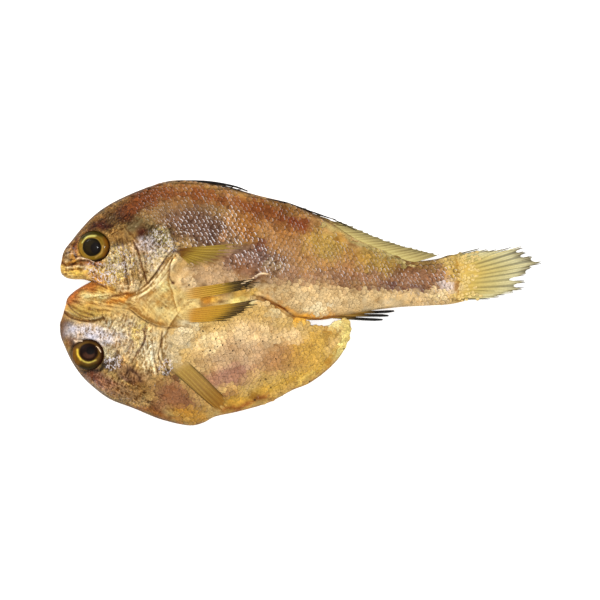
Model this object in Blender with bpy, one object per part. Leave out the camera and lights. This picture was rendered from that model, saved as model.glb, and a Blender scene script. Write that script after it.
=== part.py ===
"""Dried salted croaker, split down the back, opened flat on its belly skin and lying skin side up.

Blender 4.5 script: blender --background --python part.py, or run it from the text editor.
Metres, +Z up. The cut face rests on z = 0, the snouts point to -X and the tail to +X. The half that
keeps the backbone, the dorsal fins and the tail is at +Y, and the short flap of the other half at -Y.
The fish is one solid, fins and all. The two eyeballs are solids of their own, set in their sockets.
"""

import bmesh
import bpy
import numpy as np
from mathutils import Vector
from mathutils.bvhtree import BVHTree

MM = 0.001

# ---------------------------------------------------------------- driving sizes, in millimetres
CUT_BACK_UPPER = 2.6  # thickness of the skin edge along the back that carries the fins
CUT_BACK_LOWER = 1.9  # the same along the flap's back, where the knife ran
VAULT_SHARE = 0.5  # share of the belly seam's height that the empty belly cavity takes
LEAST_WALL = 1.2  # thinnest flesh anywhere
SOCKET_GAP = 0.3  # between an eyeball and its socket
FIN_SEAT = 0.8  # how deep a fin that lies on the skin is sunk into it
EYE_RIM = 0.7  # height of the bony ring round each eye
EYE_RIM_WIDTH = 0.17  # its width, as a share of the eye's radius
LEAST_FIN_HEIGHT = 0.1  # how far above the table the lowest fin rays stay

# Outlines seen from above, in millimetres from the middle of the fish.
UPPER_LIP = [(-114.9, 13.8), (-112.6, 12.2), (-109.0, 11.5), (-104.4, 11.4), (-99.9, 10.2)]
THROAT_SEAM = [(-99.9, 10.2), (-91.4, 6.0), (-79.4, 2.2), (-67.4, 0.2), (-56.9, -0.2)]
BELLY_SEAM = [(-56.9, -0.2), (-41.0, -0.2), (-25.2, 1.4), (-14.6, 0.0), (-7.0, -4.8), (2.6, -8.2)]
TAIL_UNDERSIDE = [
    (2.6, -8.2), (11.8, -7.9), (21.4, -5.9), (33.4, -3.6), (47.8, -1.9), (62.2, -1.1), (72.0, -0.5),
    (79.0, 1.0),
]  # fmt: skip
UPPER_BACK = [
    (-115.4, 18.0), (-113.9, 24.4), (-110.1, 29.6), (-105.6, 35.2), (-100.6, 40.6),
    (-94.3, 45.5), (-85.9, 50.1), (-74.6, 54.8),
    (-62.6, 58.3), (-49.2, 58.1), (-34.8, 55.2), (-19.4, 51.0), (-7.4, 48.1),
    (2.6, 44.2), (14.2, 38.5), (26.6, 30.8), (40.1, 25.0), (52.6, 19.9), (64.6, 20.4), (72.0, 22.6),
    (79.0, 22.4),
]  # fmt: skip
UPPER_BACK_CUTS = (0, 5, 8, 13, 20)  # above the snout, mouth corner, gill opening, vent and tail root
CHIN = [(-114.8, -8.0), (-113.9, -4.6), (-112.9, -1.0), (-111.9, 2.2), (-107.8, 5.8), (-99.9, 10.2)]
FLAP_GAP = [(2.6, -8.2), (4.1, -10.6), (8.4, -11.8), (14.2, -11.2), (18.6, -9.0), (22.4, -8.0)]
LOWER_BACK = [
    (-115.8, -11.2), (-115.4, -16.1), (-113.5, -21.1), (-110.2, -28.1), (-105.4, -35.0),
    (-99.1, -41.0), (-91.4, -46.4), (-79.9, -50.8),
    (-67.4, -55.9), (-54.0, -58.9), (-46.8, -57.6), (-41.0, -54.6), (-30.0, -52.2), (-15.6, -48.0),
    (-4.1, -42.0), (4.8, -38.2), (14.4, -30.8), (20.3, -23.6), (23.7, -15.1), (23.9, -9.8),
]  # fmt: skip
LOWER_BACK_CUTS = (0, 5, 8, 14, 19)

# Height of the skin above the table, as (x, height) pairs that a smooth line joins.
UPPER_CREST = [
    (-116, 5.0), (-108, 8.4), (-98, 10.6), (-82, 12.0), (-60, 11.6), (-30, 10.6), (5, 9.8), (35, 8.4),
    (56, 7.2), (66, 6.4), (73, 4.9), (80, 2.6),
]  # fmt: skip
LOWER_CREST = [
    (-117, 5.0), (-108, 8.8), (-98, 10.6), (-82, 11.4), (-60, 10.0), (-30, 7.9), (0, 5.6), (14, 4.2),
    (24, 2.8),
]  # fmt: skip
SEAM_HEIGHT = [
    (-117, 3.0), (-104, 4.0), (-90, 5.4), (-60, 5.2), (-20, 4.8), (2, 4.2), (25, 3.4), (66, 3.0), (80, 1.8),
]  # fmt: skip
CREST_PLACE = [(-117, 0.5), (-90, 0.55), (-40, 0.62), (0, 0.6), (30, 0.5), (80, 0.5)]  # 0 belly, 1 back

# Mesh density: columns in the jaw, throat, belly and tail sections, and rows from belly to back.
UPPER_COLUMNS = (16, 18, 18, 18)
LOWER_COLUMNS = (16, 18, 18, 9)
ROWS = 20
ROWS_PER_UNDERSIDE_ROW = 4

# Steps in the head: the plate to the left of each line stands proud by the height, and fades inwards.
PLATE_EDGES = (
    ("upper cheek plate", [(-76.5, 11.0), (-74.8, 17.6), (-76.6, 25.0), (-81.0, 31.5)], 0.7, 7.0),
    ("upper gill cover",
     [(-91.0, 3.8), (-79.0, 5.8), (-72.2, 11.8), (-67.4, 18.0), (-61.2, 25.4), (-61.8, 31.0)], 1.2, 9.0),
    ("upper shoulder", [(-61.4, 4.0), (-63.4, 10.8), (-63.0, 17.6), (-59.6, 22.6)], -0.6, 6.0),
    ("lower gill cover",
     [(-70.4, -38.4), (-64.4, -33.0), (-66.6, -26.0), (-67.4, -18.6), (-64.4, -13.4)], 1.0, 9.0),
    ("lower cheek plate", [(-81.2, -32.1), (-78.6, -26.0), (-76.2, -19.8), (-75.2, -14.4)], 0.7, 7.0),
    ("throat skin", [(-60.4, -12.2), (-68.4, -11.2), (-76.0, -7.6), (-82.2, -3.0), (-92.0, -0.6)], 0.8, 8.0),
)  # fmt: skip
PLATE_LIP = 0.8  # how far past its line a plate's edge falls away
# Rounded ridges, and grooves where the height is negative.
RIDGES = (
    ("upper lip roll", [(-113.6, 15.8), (-108.8, 14.0), (-103.4, 13.6)], 0.9, 1.6),
    ("fold under the upper eye", [(-111.0, 19.0), (-104.8, 20.6), (-99.8, 20.0)], 0.5, 1.2),
    ("shut mouth", [(-114.0, -4.4), (-106.6, -7.6), (-100.4, -8.8), (-95.2, -7.8)], -1.0, 1.4),
    ("lower jaw", [(-112.0, -1.2), (-106.0, -4.8), (-100.0, -6.2), (-94.6, -5.8)], 0.7, 1.5),
    ("belly crease", [(-22.0, 2.6), (-14.6, 0.4), (-8.6, -3.8), (-4.0, -6.8), (2.6, -8.0)], -0.9, 1.4),
)

# Eyeballs: middle, half-lengths along X, Y and Z, and height of the middle above the table.
EYES = {
    "eye_upper": ((-98.6, 26.8), (7.9, 7.4, 3.4), 9.0),
    "eye_lower": ((-101.6, -24.8), (7.9, 7.4, 3.3), 8.9),
}
EYE_SEGMENTS = 24
EYE_RINGS = 12

# Fins: root line and tip line from the first ray to the last, number of rays, thickness at root and tip,
# heights of the middle at root and tip above the table, how far the webs stop short of the ray tips, and
# how uneven the rays are. A fin without heights lies on the skin.
FINS = {
    "tail_fin": dict(
        root=[(70.0, 20.6), (74.6, 12.0), (70.0, 1.6)],
        tip=[(86.6, 25.6), (96.8, 25.2), (105.6, 26.8), (111.0, 24.4), (115.8, 19.4), (110.8, 16.4),
             (109.8, 12.8), (108.8, 8.4), (105.6, 5.8), (92.0, 2.2)],
        rays=17, thick=(2.2, 0.9), heights=(1.5, 0.9), notch=0.07, rag=0.03),
    "soft_dorsal_fin": dict(
        root=[(8.0, 39.2), (26.0, 29.8), (40.0, 23.8), (52.4, 17.6)],
        tip=[(20.0, 38.8), (38.2, 31.2), (52.4, 26.6), (66.8, 23.2)],
        rays=18, thick=(1.2, 0.8), heights=(2.2, 1.4), notch=0.07, rag=0.04),
    "spiny_dorsal_fin": dict(
        root=[(-60.0, 56.2), (-50.0, 56.0), (-38.0, 54.0)],
        tip=[(-44.0, 58.4), (-34.0, 57.2), (-23.4, 54.2)],
        rays=7, thick=(1.4, 0.9), heights=(2.0, 2.2), notch=0.16, rag=0.04),
    "last_dorsal_spines": dict(
        root=[(-18.0, 47.8), (-8.0, 45.6), (4.0, 40.8)],
        tip=[(3.0, 45.6), (13.0, 40.8), (22.0, 37.0)],
        rays=6, thick=(1.3, 0.9), heights=(2.0, 2.0), notch=0.12, rag=0.04),
    "anal_fin": dict(
        root=[(4.0, -7.4), (13.0, -6.2), (22.0, -4.2)],
        tip=[(37.0, -8.8), (44.0, -7.0), (44.6, -2.6)],
        rays=6, thick=(1.6, 0.9), heights=(2.0, 1.4), notch=0.12, rag=0.05),
    "pectoral_fin_upper": dict(
        root=[(-57.6, 24.6), (-56.2, 20.6), (-55.0, 17.0)],
        tip=[(-27.0, 28.6), (-18.6, 26.8), (-26.0, 25.2), (-36.0, 20.6)],
        rays=11, thick=(1.3, 0.6), notch=0.04, rag=0.03),
    "pectoral_fin_lower": dict(
        root=[(-57.6, -27.4), (-59.6, -29.6), (-62.4, -32.0)],
        tip=[(-36.6, -47.4), (-38.0, -52.4), (-43.0, -50.4)],
        rays=9, thick=(1.4, 0.9), notch=0.04, rag=0.02),
    "pelvic_fin_upper": dict(
        root=[(-55.0, 5.6), (-54.6, 3.6), (-53.8, 1.8)],
        tip=[(-23.4, 11.2), (-21.2, 10.0), (-22.4, 8.2)],
        rays=6, thick=(1.4, 0.6), notch=0.08, rag=0.05),
    "pelvic_fin_lower": dict(
        root=[(-52.4, -4.0), (-53.6, -6.4), (-53.6, -8.8)],
        tip=[(-20.8, 1.2), (-20.8, -0.6), (-27.6, -5.0)],
        rays=6, thick=(1.4, 0.6), notch=0.08, rag=0.05),
}  # fmt: skip
WEB_SHARE = 0.7  # a web's thickness as a share of its rays'
FIN_ROWS = 5
TIP_SEED = 11

# Finishes: base colour, roughness.
SKIN = ((0.46, 0.30, 0.16), 0.42)
EYE = ((0.42, 0.28, 0.06), 0.2)


# ---------------------------------------------------------------- curves
def smooth_line(points, per_span=12):
    """A Catmull-Rom line through the points; control point k is at index k * per_span."""
    p = np.array(points, float)
    p = np.vstack([2 * p[0] - p[1], p, 2 * p[-1] - p[-2]])
    u = np.arange(per_span)[:, None] / per_span
    spans = []
    for a, b, c, d in zip(p[:-3], p[1:-2], p[2:-1], p[3:]):
        spans.append(
            0.5 * (2 * b + (c - a) * u + (2 * a - 5 * b + 4 * c - d) * u**2 + (3 * b - a - 3 * c + d) * u**3)
        )
    return np.vstack([*spans, p[-2:-1]])


def spaced(line, spans):
    """The line again, as spans + 1 points an equal way apart."""
    steps = np.r_[0, np.cumsum(np.linalg.norm(np.diff(line, axis=0), axis=1))]
    want = np.linspace(0, steps[-1], spans + 1)
    return np.column_stack([np.interp(want, steps, line[:, k]) for k in range(line.shape[1])])


def sections(line, cuts, columns, per_span=12):
    """A line through all the points, cut at the named control points and spaced section by section."""
    whole = smooth_line(line, per_span)
    parts = [spaced(whole[a * per_span : b * per_span + 1], n) for a, b, n in zip(cuts, cuts[1:], columns)]
    return np.vstack([parts[0], *(part[1:] for part in parts[1:])])


def joined(lines, columns):
    """Separate smooth lines that meet at corners, spaced section by section."""
    parts = [spaced(smooth_line(line), n) for line, n in zip(lines, columns)]
    return np.vstack([parts[0], *(part[1:] for part in parts[1:])])


def profile(pairs, x):
    """The smooth line through the (place, value) pairs, read at x."""
    line = smooth_line(pairs)
    return np.interp(x, line[:, 0], line[:, 1])


def nearest(xy, line):
    """Distance from each point to the line, and whether it lies on the line's left."""
    best = np.full(len(xy), np.inf)
    left = np.zeros(len(xy), bool)
    for a, b in zip(line, line[1:]):
        along = b - a
        share = np.clip(((xy - a) @ along) / (along @ along), 0, 1)
        off = xy - (a + share[:, None] * along)
        distance = np.linalg.norm(off, axis=1)
        closer = distance < best
        best[closer] = distance[closer]
        left[closer] = (along[0] * off[:, 1] - along[1] * off[:, 0])[closer] > 0
    return best, left


# ---------------------------------------------------------------- the fish's sections
def arch(share):
    """A quarter round: 0 at share 0, rising steeply, level at share 1."""
    return np.sqrt(1 - (1 - np.clip(share, 0, 1)) ** 2)


def ease(share):
    """A smooth step from 0 to 1."""
    share = np.clip(share, 0, 1)
    return share * share * (3 - 2 * share)


def head_relief(xy):
    """Height that the gill covers, cheek plates, lips and folds add to the skin."""
    height = np.zeros(len(xy))
    for _, line, step, fade in PLATE_EDGES:
        distance, left = nearest(xy, spaced(smooth_line(line), 24))
        fall = np.where(left, fade, PLATE_LIP)
        height += step * np.exp(-((distance / fall) ** 2))
    for _, line, rise, width in RIDGES:
        distance, _ = nearest(xy, spaced(smooth_line(line), 24))
        height += rise * np.exp(-((distance / width) ** 2))
    for place, radii, _ in EYES.values():
        out = np.linalg.norm((xy - place) / radii[:2], axis=1)
        height += EYE_RIM * np.exp(-(((out - 1 - EYE_RIM_WIDTH / 2) / EYE_RIM_WIDTH) ** 2))
    return height


def half_fish(belly, back, crest, cut_back, columns):
    """Grids (column, row, xyz) of one half's skin and underside, from the belly line to the back line."""
    jaw, throat, middle, _ = columns
    count = len(belly)
    t = np.linspace(0, 1, ROWS + 1)
    xy = belly[:, None] * (1 - t[None, :, None]) + back[:, None] * t[None, :, None]
    x = xy[:, ROWS // 2, 0]
    column = np.arange(count)
    # 1 where the belly side is a free edge, as at the lips and the tail, and 0 where the halves join.
    free = 1 - ease((column - jaw + 3) / 6) + ease((column - jaw - throat - middle + 5) / 8)
    top_of = profile(crest, x)
    seam = profile(SEAM_HEIGHT, belly[:, 0])
    place = profile(CREST_PLACE, x)
    edge = np.minimum(cut_back, 0.6 * top_of)

    belly_share = t[None, :] / place[:, None]
    back_share = (1 - t[None, :]) / (1 - place[:, None])
    joined_rise = np.sin(np.clip(belly_share, 0, 1) * np.pi / 2) ** 1.4
    belly_rise = free[:, None] * arch(belly_share) + (1 - free[:, None]) * joined_rise
    on_belly_side = belly_share < 1
    start = np.where(on_belly_side, seam[:, None], edge[:, None])
    rise = np.where(on_belly_side, belly_rise, arch(back_share))
    skin = start + (top_of[:, None] - start) * rise
    fade = ease(8 * np.minimum(t, 1 - t))[None, :] ** free[:, None]
    skin += head_relief(xy.reshape(-1, 2)).reshape(skin.shape) * fade

    # The underside is flat on the table, hollow under the belly, and turned up at free edges.
    vault = VAULT_SHARE * seam[:, None] * (1 - free[:, None]) * (1 - ease(t[None, :] / 0.6))
    turn = 0.12 + 0.24 * ease((x[:, None] - 5) / 40)
    belly_turn = 0.35 * seam[:, None] * free[:, None] * (1 - arch(t[None, :] / turn))
    back_turn = 0.3 * edge[:, None] * (1 - arch((1 - t[None, :]) / turn))
    under = vault + belly_turn + back_turn
    skin = np.maximum(skin, under + LEAST_WALL)
    keep = slice(None, None, ROWS_PER_UNDERSIDE_ROW)
    return np.dstack([xy, skin]), np.dstack([xy, under])[:, keep]


def closed_half(mesh, skin, under, shared):
    """Adds one half's skin, underside and edge walls. Columns in the shared range have no belly wall."""
    step = ROWS_PER_UNDERSIDE_ROW
    top = [[mesh.verts.new(p * MM) for p in column] for column in skin]
    low = [[mesh.verts.new(p * MM) for p in column] for column in under]
    for grid in (top, low):
        for a, b in zip(grid, grid[1:]):
            for k in range(len(a) - 1):
                mesh.faces.new((a[k], b[k], b[k + 1], a[k + 1]))
    for i in range(len(top) - 1):
        mesh.faces.new((top[i][-1], top[i + 1][-1], low[i + 1][-1], low[i][-1]))
        if not shared[0] <= i < shared[1]:
            mesh.faces.new((top[i][0], top[i + 1][0], low[i + 1][0], low[i][0]))
    for end in (0, -1):
        for k in range(len(low[end]) - 1):
            mesh.faces.new((*top[end][k * step : k * step + step + 1], low[end][k + 1], low[end][k]))


def body_object():
    """The split body and head as one closed solid, without fins."""
    upper_belly = joined((UPPER_LIP, THROAT_SEAM, BELLY_SEAM, TAIL_UNDERSIDE), UPPER_COLUMNS)
    upper_back = sections(UPPER_BACK, UPPER_BACK_CUTS, UPPER_COLUMNS)
    lower_belly = joined((CHIN, THROAT_SEAM, BELLY_SEAM, FLAP_GAP), LOWER_COLUMNS)
    lower_back = sections(LOWER_BACK, LOWER_BACK_CUTS, LOWER_COLUMNS)
    upper = half_fish(upper_belly, upper_back, UPPER_CREST, CUT_BACK_UPPER, UPPER_COLUMNS)
    lower = half_fish(lower_belly, lower_back, LOWER_CREST, CUT_BACK_LOWER, LOWER_COLUMNS)
    shared = (UPPER_COLUMNS[0], sum(UPPER_COLUMNS[:3]))
    mesh = bmesh.new()
    closed_half(mesh, *upper, shared)
    closed_half(mesh, *lower, shared)
    bmesh.ops.remove_doubles(mesh, verts=mesh.verts, dist=0.01 * MM)
    bmesh.ops.triangulate(mesh, faces=mesh.faces)
    bmesh.ops.recalc_face_normals(mesh, faces=mesh.faces)
    return object_from(mesh, "croaker")


def object_from(mesh, name, collection=None):
    """Turns a bmesh into a linked, smooth-shaded object."""
    data = bpy.data.meshes.new(name)
    mesh.to_mesh(data)
    mesh.free()
    data.shade_smooth()
    made = bpy.data.objects.new(name, data)
    (collection or bpy.context.scene.collection).objects.link(made)
    return made


# ---------------------------------------------------------------- fins
def fin_object(name, fin, skin_tree, rng, collection):
    """A thin ridged fan of rays and webs. Its root or its whole underside is inside the body."""
    lines = 2 * fin["rays"] - 1
    root = spaced(smooth_line(fin["root"]), lines - 1)
    tip = spaced(smooth_line(fin["tip"]), lines - 1)
    ragged = rng.uniform(-fin["rag"], fin["rag"], lines)
    mesh = bmesh.new()
    top, low = [], []
    for k in range(lines):
        is_web = k % 2 == 1
        reach = 1 - fin["notch"] if is_web else 1 + ragged[k]
        top.append([])
        low.append([])
        for row in range(FIN_ROWS + 1):
            share = row / FIN_ROWS
            x, y = root[k] + (tip[k] - root[k]) * share * reach
            thick = (1 - share) * fin["thick"][0] + share * fin["thick"][1]
            thick *= WEB_SHARE if is_web else 1.0
            if "heights" in fin:
                middle = (1 - share) * fin["heights"][0] + share * fin["heights"][1]
                high = middle + thick / 2
                deep = max(middle - thick / 2, LEAST_FIN_HEIGHT)
            else:
                skin = skin_tree.ray_cast(Vector((x * MM, y * MM, 1.0)), Vector((0, 0, -1)))[0].z / MM
                high = skin + thick
                deep = skin - FIN_SEAT
            top[k].append(mesh.verts.new(Vector((x, y, high)) * MM))
            low[k].append(mesh.verts.new(Vector((x, y, deep)) * MM))
    for grid in (top, low):
        for a, b in zip(grid, grid[1:]):
            for k in range(FIN_ROWS):
                mesh.faces.new((a[k], b[k], b[k + 1], a[k + 1]))
    for end in (0, -1):
        for a, b, c, d in zip(top[end], top[end][1:], low[end][1:], low[end]):
            mesh.faces.new((a, b, c, d))
        for a, b in zip(range(lines - 1), range(1, lines)):
            mesh.faces.new((top[a][end], top[b][end], low[b][end], low[a][end]))
    bmesh.ops.triangulate(mesh, faces=mesh.faces)
    bmesh.ops.recalc_face_normals(mesh, faces=mesh.faces)
    return object_from(mesh, name, collection)


def eyeball(name, place, radii, height, grow=0.0):
    """A flattened ball; grow makes it larger all round, as its socket is."""
    mesh = bmesh.new()
    bmesh.ops.create_uvsphere(mesh, u_segments=EYE_SEGMENTS, v_segments=EYE_RINGS, radius=1.0)
    for vert in mesh.verts:
        vert.co = Vector([(c * (r + grow)) * MM for c, r in zip(vert.co, radii)])
    ball = object_from(mesh, name)
    ball.location = Vector((*place, height)) * MM
    return ball


def apply_boolean(target, operation, **operand):
    """Cuts or joins at once, and keeps the result as the target's own mesh."""
    cut = target.modifiers.new("cut", "BOOLEAN")
    cut.operation = operation
    cut.solver = "EXACT"
    for key, value in operand.items():
        setattr(cut, key, value)
    bpy.context.view_layer.update()
    done = bpy.data.meshes.new_from_object(target.evaluated_get(bpy.context.evaluated_depsgraph_get()))
    target.modifiers.remove(cut)
    target.data = done


def finish(name, look):
    colour, roughness = look
    material = bpy.data.materials.new(name)
    material.use_nodes = True
    shader = material.node_tree.nodes["Principled BSDF"]
    shader.inputs["Base Color"].default_value = (*colour, 1)
    shader.inputs["Roughness"].default_value = roughness
    return material


def main():
    for obj in list(bpy.data.objects):
        bpy.data.objects.remove(obj)
    croaker = body_object()
    mesh = bmesh.new()
    mesh.from_mesh(croaker.data)
    skin_tree = BVHTree.FromBMesh(mesh)
    mesh.free()

    fins = bpy.data.collections.new("fins")
    bpy.context.scene.collection.children.link(fins)
    rng = np.random.default_rng(TIP_SEED)
    for name, fin in FINS.items():
        fin_object(name, fin, skin_tree, rng, fins)
    apply_boolean(croaker, "UNION", operand_type="COLLECTION", collection=fins)
    for fin in list(fins.objects):
        bpy.data.objects.remove(fin)

    for name, (place, radii, height) in EYES.items():
        socket = eyeball("socket", place, radii, height, SOCKET_GAP)
        apply_boolean(croaker, "DIFFERENCE", object=socket)
        bpy.data.objects.remove(socket)
        eyeball(name, place, radii, height).data.materials.append(finish(name, EYE))
    croaker.data.materials.clear()
    croaker.data.materials.append(finish("salted_skin", SKIN))


main()
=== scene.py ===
"""Dried salted croaker, split down the back, opened flat and lying skin side up.

Sizes are in millimetres, measured from the middle of the fish, and become metres in each mesh. The snouts
point to -X, the tail to +X. The half that keeps the backbone, the dorsal fins and the tail is at +Y, the
short flap at -Y, and the cut face rests on z = 0.
"""

import math

import bmesh
import bpy
import numpy as np
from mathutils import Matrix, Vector
from mathutils.bvhtree import BVHTree


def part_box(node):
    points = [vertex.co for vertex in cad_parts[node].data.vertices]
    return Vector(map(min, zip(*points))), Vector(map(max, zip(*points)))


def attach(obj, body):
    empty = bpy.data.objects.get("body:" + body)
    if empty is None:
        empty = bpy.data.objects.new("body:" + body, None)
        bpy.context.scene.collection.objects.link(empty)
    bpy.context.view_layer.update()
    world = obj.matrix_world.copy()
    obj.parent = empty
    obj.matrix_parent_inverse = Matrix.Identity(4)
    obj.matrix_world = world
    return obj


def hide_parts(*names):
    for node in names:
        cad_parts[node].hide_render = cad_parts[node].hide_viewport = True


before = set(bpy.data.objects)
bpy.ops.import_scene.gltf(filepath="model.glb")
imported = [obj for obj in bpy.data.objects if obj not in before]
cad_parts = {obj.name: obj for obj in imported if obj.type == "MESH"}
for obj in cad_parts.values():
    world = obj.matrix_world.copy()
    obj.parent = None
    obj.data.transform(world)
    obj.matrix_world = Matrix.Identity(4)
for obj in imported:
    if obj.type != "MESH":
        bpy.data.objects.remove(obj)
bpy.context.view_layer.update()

# ------------------------------------------------------------------------------------ the split body
# Both head halves, the body with the backbone and the flap are one piece of salted flesh under its skin,
# cut flat underneath and hollow under the belly. Each half is a sheet of sections from the belly line to
# the back line, with gill covers, jaws and folds standing proud of it as stepped plates and ridges.
MM = 0.001

CUT_BACK_UPPER = 2.6  # thickness of the skin edge along the back that carries the fins
CUT_BACK_LOWER = 1.9  # the same along the flap's back, where the knife ran
VAULT_SHARE = 0.5  # share of the belly seam's height that the empty belly cavity takes
LEAST_WALL = 1.2  # thinnest flesh anywhere

UPPER_LIP = [(-114.9, 13.8), (-112.6, 12.2), (-109, 11.5), (-104.4, 11.4), (-99.9, 10.2)]
THROAT_SEAM = [(-99.9, 10.2), (-91.4, 6), (-79.4, 2.2), (-67.4, 0.2), (-56.9, -0.2)]
BELLY_SEAM = [(-56.9, -0.2), (-41, -0.2), (-25.2, 1.4), (-14.6, 0), (-7, -4.8), (2.6, -8.2)]
TAIL_UNDERSIDE = [
    (2.6, -8.2), (11.8, -7.9), (21.4, -5.9), (33.4, -3.6), (47.8, -1.9), (62.2, -1.1), (72, -0.5),
    (79, 1),
]
UPPER_BACK = [
    (-115.4, 18), (-113.9, 24.4), (-110.1, 29.6), (-105.6, 35.2), (-100.6, 40.6),
    (-94.3, 45.5), (-85.9, 50.1), (-74.6, 54.8),
    (-62.6, 58.3), (-49.2, 58.1), (-34.8, 55.2), (-19.4, 51), (-7.4, 48.1),
    (2.6, 44.2), (14.2, 38.5), (26.6, 30.8), (40.1, 25), (52.6, 19.9), (64.6, 20.4), (72, 22.6),
    (79, 22.4),
]
UPPER_BACK_CUTS = (0, 5, 8, 13, 20)  # above the snout, mouth corner, gill opening, vent and tail root
CHIN = [(-114.8, -8), (-113.9, -4.6), (-112.9, -1), (-111.9, 2.2), (-107.8, 5.8), (-99.9, 10.2)]
FLAP_GAP = [(2.6, -8.2), (4.1, -10.6), (8.4, -11.8), (14.2, -11.2), (18.6, -9), (22.4, -8)]
LOWER_BACK = [
    (-115.8, -11.2), (-115.4, -16.1), (-113.5, -21.1), (-110.2, -28.1), (-105.4, -35),
    (-99.1, -41), (-91.4, -46.4), (-79.9, -50.8),
    (-67.4, -55.9), (-54, -58.9), (-46.8, -57.6), (-41, -54.6), (-30, -52.2), (-15.6, -48),
    (-4.1, -42), (4.8, -38.2), (14.4, -30.8), (20.3, -23.6), (23.7, -15.1), (23.9, -9.8),
]
LOWER_BACK_CUTS = (0, 5, 8, 14, 19)

# Height of the skin above the table, as (x, height) pairs that a smooth line joins.
UPPER_CREST = [
    (-116, 5), (-108, 8.4), (-98, 10.6), (-82, 12), (-60, 11.6), (-30, 10.6), (5, 9.8), (35, 8.4),
    (56, 7.2), (65, 6.2), (71, 4.8), (76, 2.9), (80, 1.3),
]
LOWER_CREST = [
    (-117, 5), (-108, 8.8), (-98, 10.6), (-82, 11.4), (-60, 10), (-30, 7.9), (0, 5.6), (14, 4.2),
    (24, 2.8),
]
SEAM_HEIGHT = [
    (-117, 3), (-104, 4), (-90, 5.4), (-60, 5.2), (-20, 4.8), (2, 4.2), (25, 3.4), (66, 2.8), (74, 2.1),
    (80, 1.2),
]
CREST_PLACE = [(-117, 0.5), (-90, 0.55), (-40, 0.62), (0, 0.6), (30, 0.5), (80, 0.5)]  # 0 belly, 1 back

# Columns in the jaw, throat, belly and tail sections; rows of skin; rows round the cut edge.
UPPER_COLUMNS = (48, 140, 46, 52)
LOWER_COLUMNS = (48, 140, 46, 24)
ROWS = 128
ROWS_PER_CUT_ROW = 4
RIM_ROWS = 3
RIM_BULGE = 0.35
SKIN, CUT_FACE, EDGE = range(3)  # the three surfaces of the flesh
# The belly side is a free edge at the lips and at the tail. Section number where one ends and the other
# begins, and the share of a section over which it does.
LIPS_END = (0.82, 0.36)
TAIL_BEGINS = (2.72, 0.45)
# Passes of smoothing that find the crests of the skin, and the height that counts as a full crest.
CREST_SEARCHES = ((5, 0.05), (45, 0.2))

# The plate to the left of each line stands proud by the step, and fades inwards over the last size.
PLATE_LIP = 0.55
PLATES = (
    ("upper cheek", [(-76.5, 11), (-74.8, 17.6), (-76.6, 25), (-81, 31.5)], 0.8, 7),
    ("upper gill cover",
     [(-91, 3.8), (-79, 5.8), (-72.2, 11.8), (-67.4, 18), (-61.2, 25.4), (-61.8, 31)], 1.2, 9),
    ("upper shoulder", [(-61.4, 4), (-63.4, 10.8), (-63, 17.6), (-59.6, 22.6)], -0.6, 6),
    ("lower gill cover",
     [(-70.4, -38.4), (-64.4, -33), (-66.6, -26), (-67.4, -18.6), (-64.4, -13.4)], 1, 9),
    ("lower cheek", [(-81.2, -32.1), (-78.6, -26), (-76.2, -19.8), (-75.2, -14.4)], 0.7, 7),
    ("throat skin", [(-60.4, -12.2), (-68.4, -11.2), (-76, -7.6), (-82.2, -3), (-92, -0.6)], 0.8, 8),
)
# Rounded folds: line, rise and width. A groove has a negative rise.
FOLDS = (
    ("upper lip roll", [(-113.6, 15.8), (-108.8, 14), (-103.4, 13.6)], 0.9, 1.6),
    ("crease under the eye's fold", [(-111, 17.8), (-106, 19.4), (-102, 19.4), (-99, 18.2)], -0.5, 0.6),
    ("shut mouth", [(-114, -4.4), (-106.6, -7.6), (-100.4, -8.8), (-95.2, -7.8)], -1, 1),
    ("lower jaw", [(-112, -1.8), (-106, -5.6), (-100, -7.2), (-95, -6.4)], 0.8, 1.1),
    ("second jaw fold", [(-110.6, 0.6), (-103.4, -3.7), (-97.2, -5), (-92, -5)], 0.5, 0.9),
    ("third jaw fold", [(-109.7, 3.4), (-101, -1.2), (-93.4, -2.6), (-86.2, -2.6)], 0.4, 1),
    ("fourth jaw fold", [(-107, 5), (-99, 3.4), (-91, 2.4), (-84, 1)], 0.4, 1),
    ("first gill skin fold", [(-60.2, 23.4), (-64.6, 17), (-69.4, 11), (-76.1, 6), (-84.2, 3.6)],
     0.35, 0.8),
    ("second gill skin fold", [(-60.6, 19.4), (-65, 12.2), (-70.4, 7), (-76.2, 3.8)], 0.3, 0.9),
    ("third gill skin fold", [(-58.8, 9.4), (-65, 6), (-72.2, 1.6)], 0.12, 1.2),
    ("belly crease", [(-22, 2.6), (-14.6, 0.4), (-8.6, -3.8), (-4, -6.8), (2.6, -8)], -0.9, 1.1),
    ("crest behind the eye", [(-86.5, 29.5), (-84.6, 18), (-82.6, 9)], -0.5, 1.2),
    ("lower gill cover crest", [(-70.3, -20.4), (-70.4, -28), (-69, -35)], 0.35, 0.9),
    ("slack skin above the pelvic fin", [(-27.6, 9.4), (-21.4, 12.7), (-18.5, 13.9), (-15.6, 13.7)],
     0.35, 0.6),
    ("back ridge", [(25.7, 30.4), (39.1, 25.7), (47.8, 20.4), (54, 17.5)], 0.5, 1),
)
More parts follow.
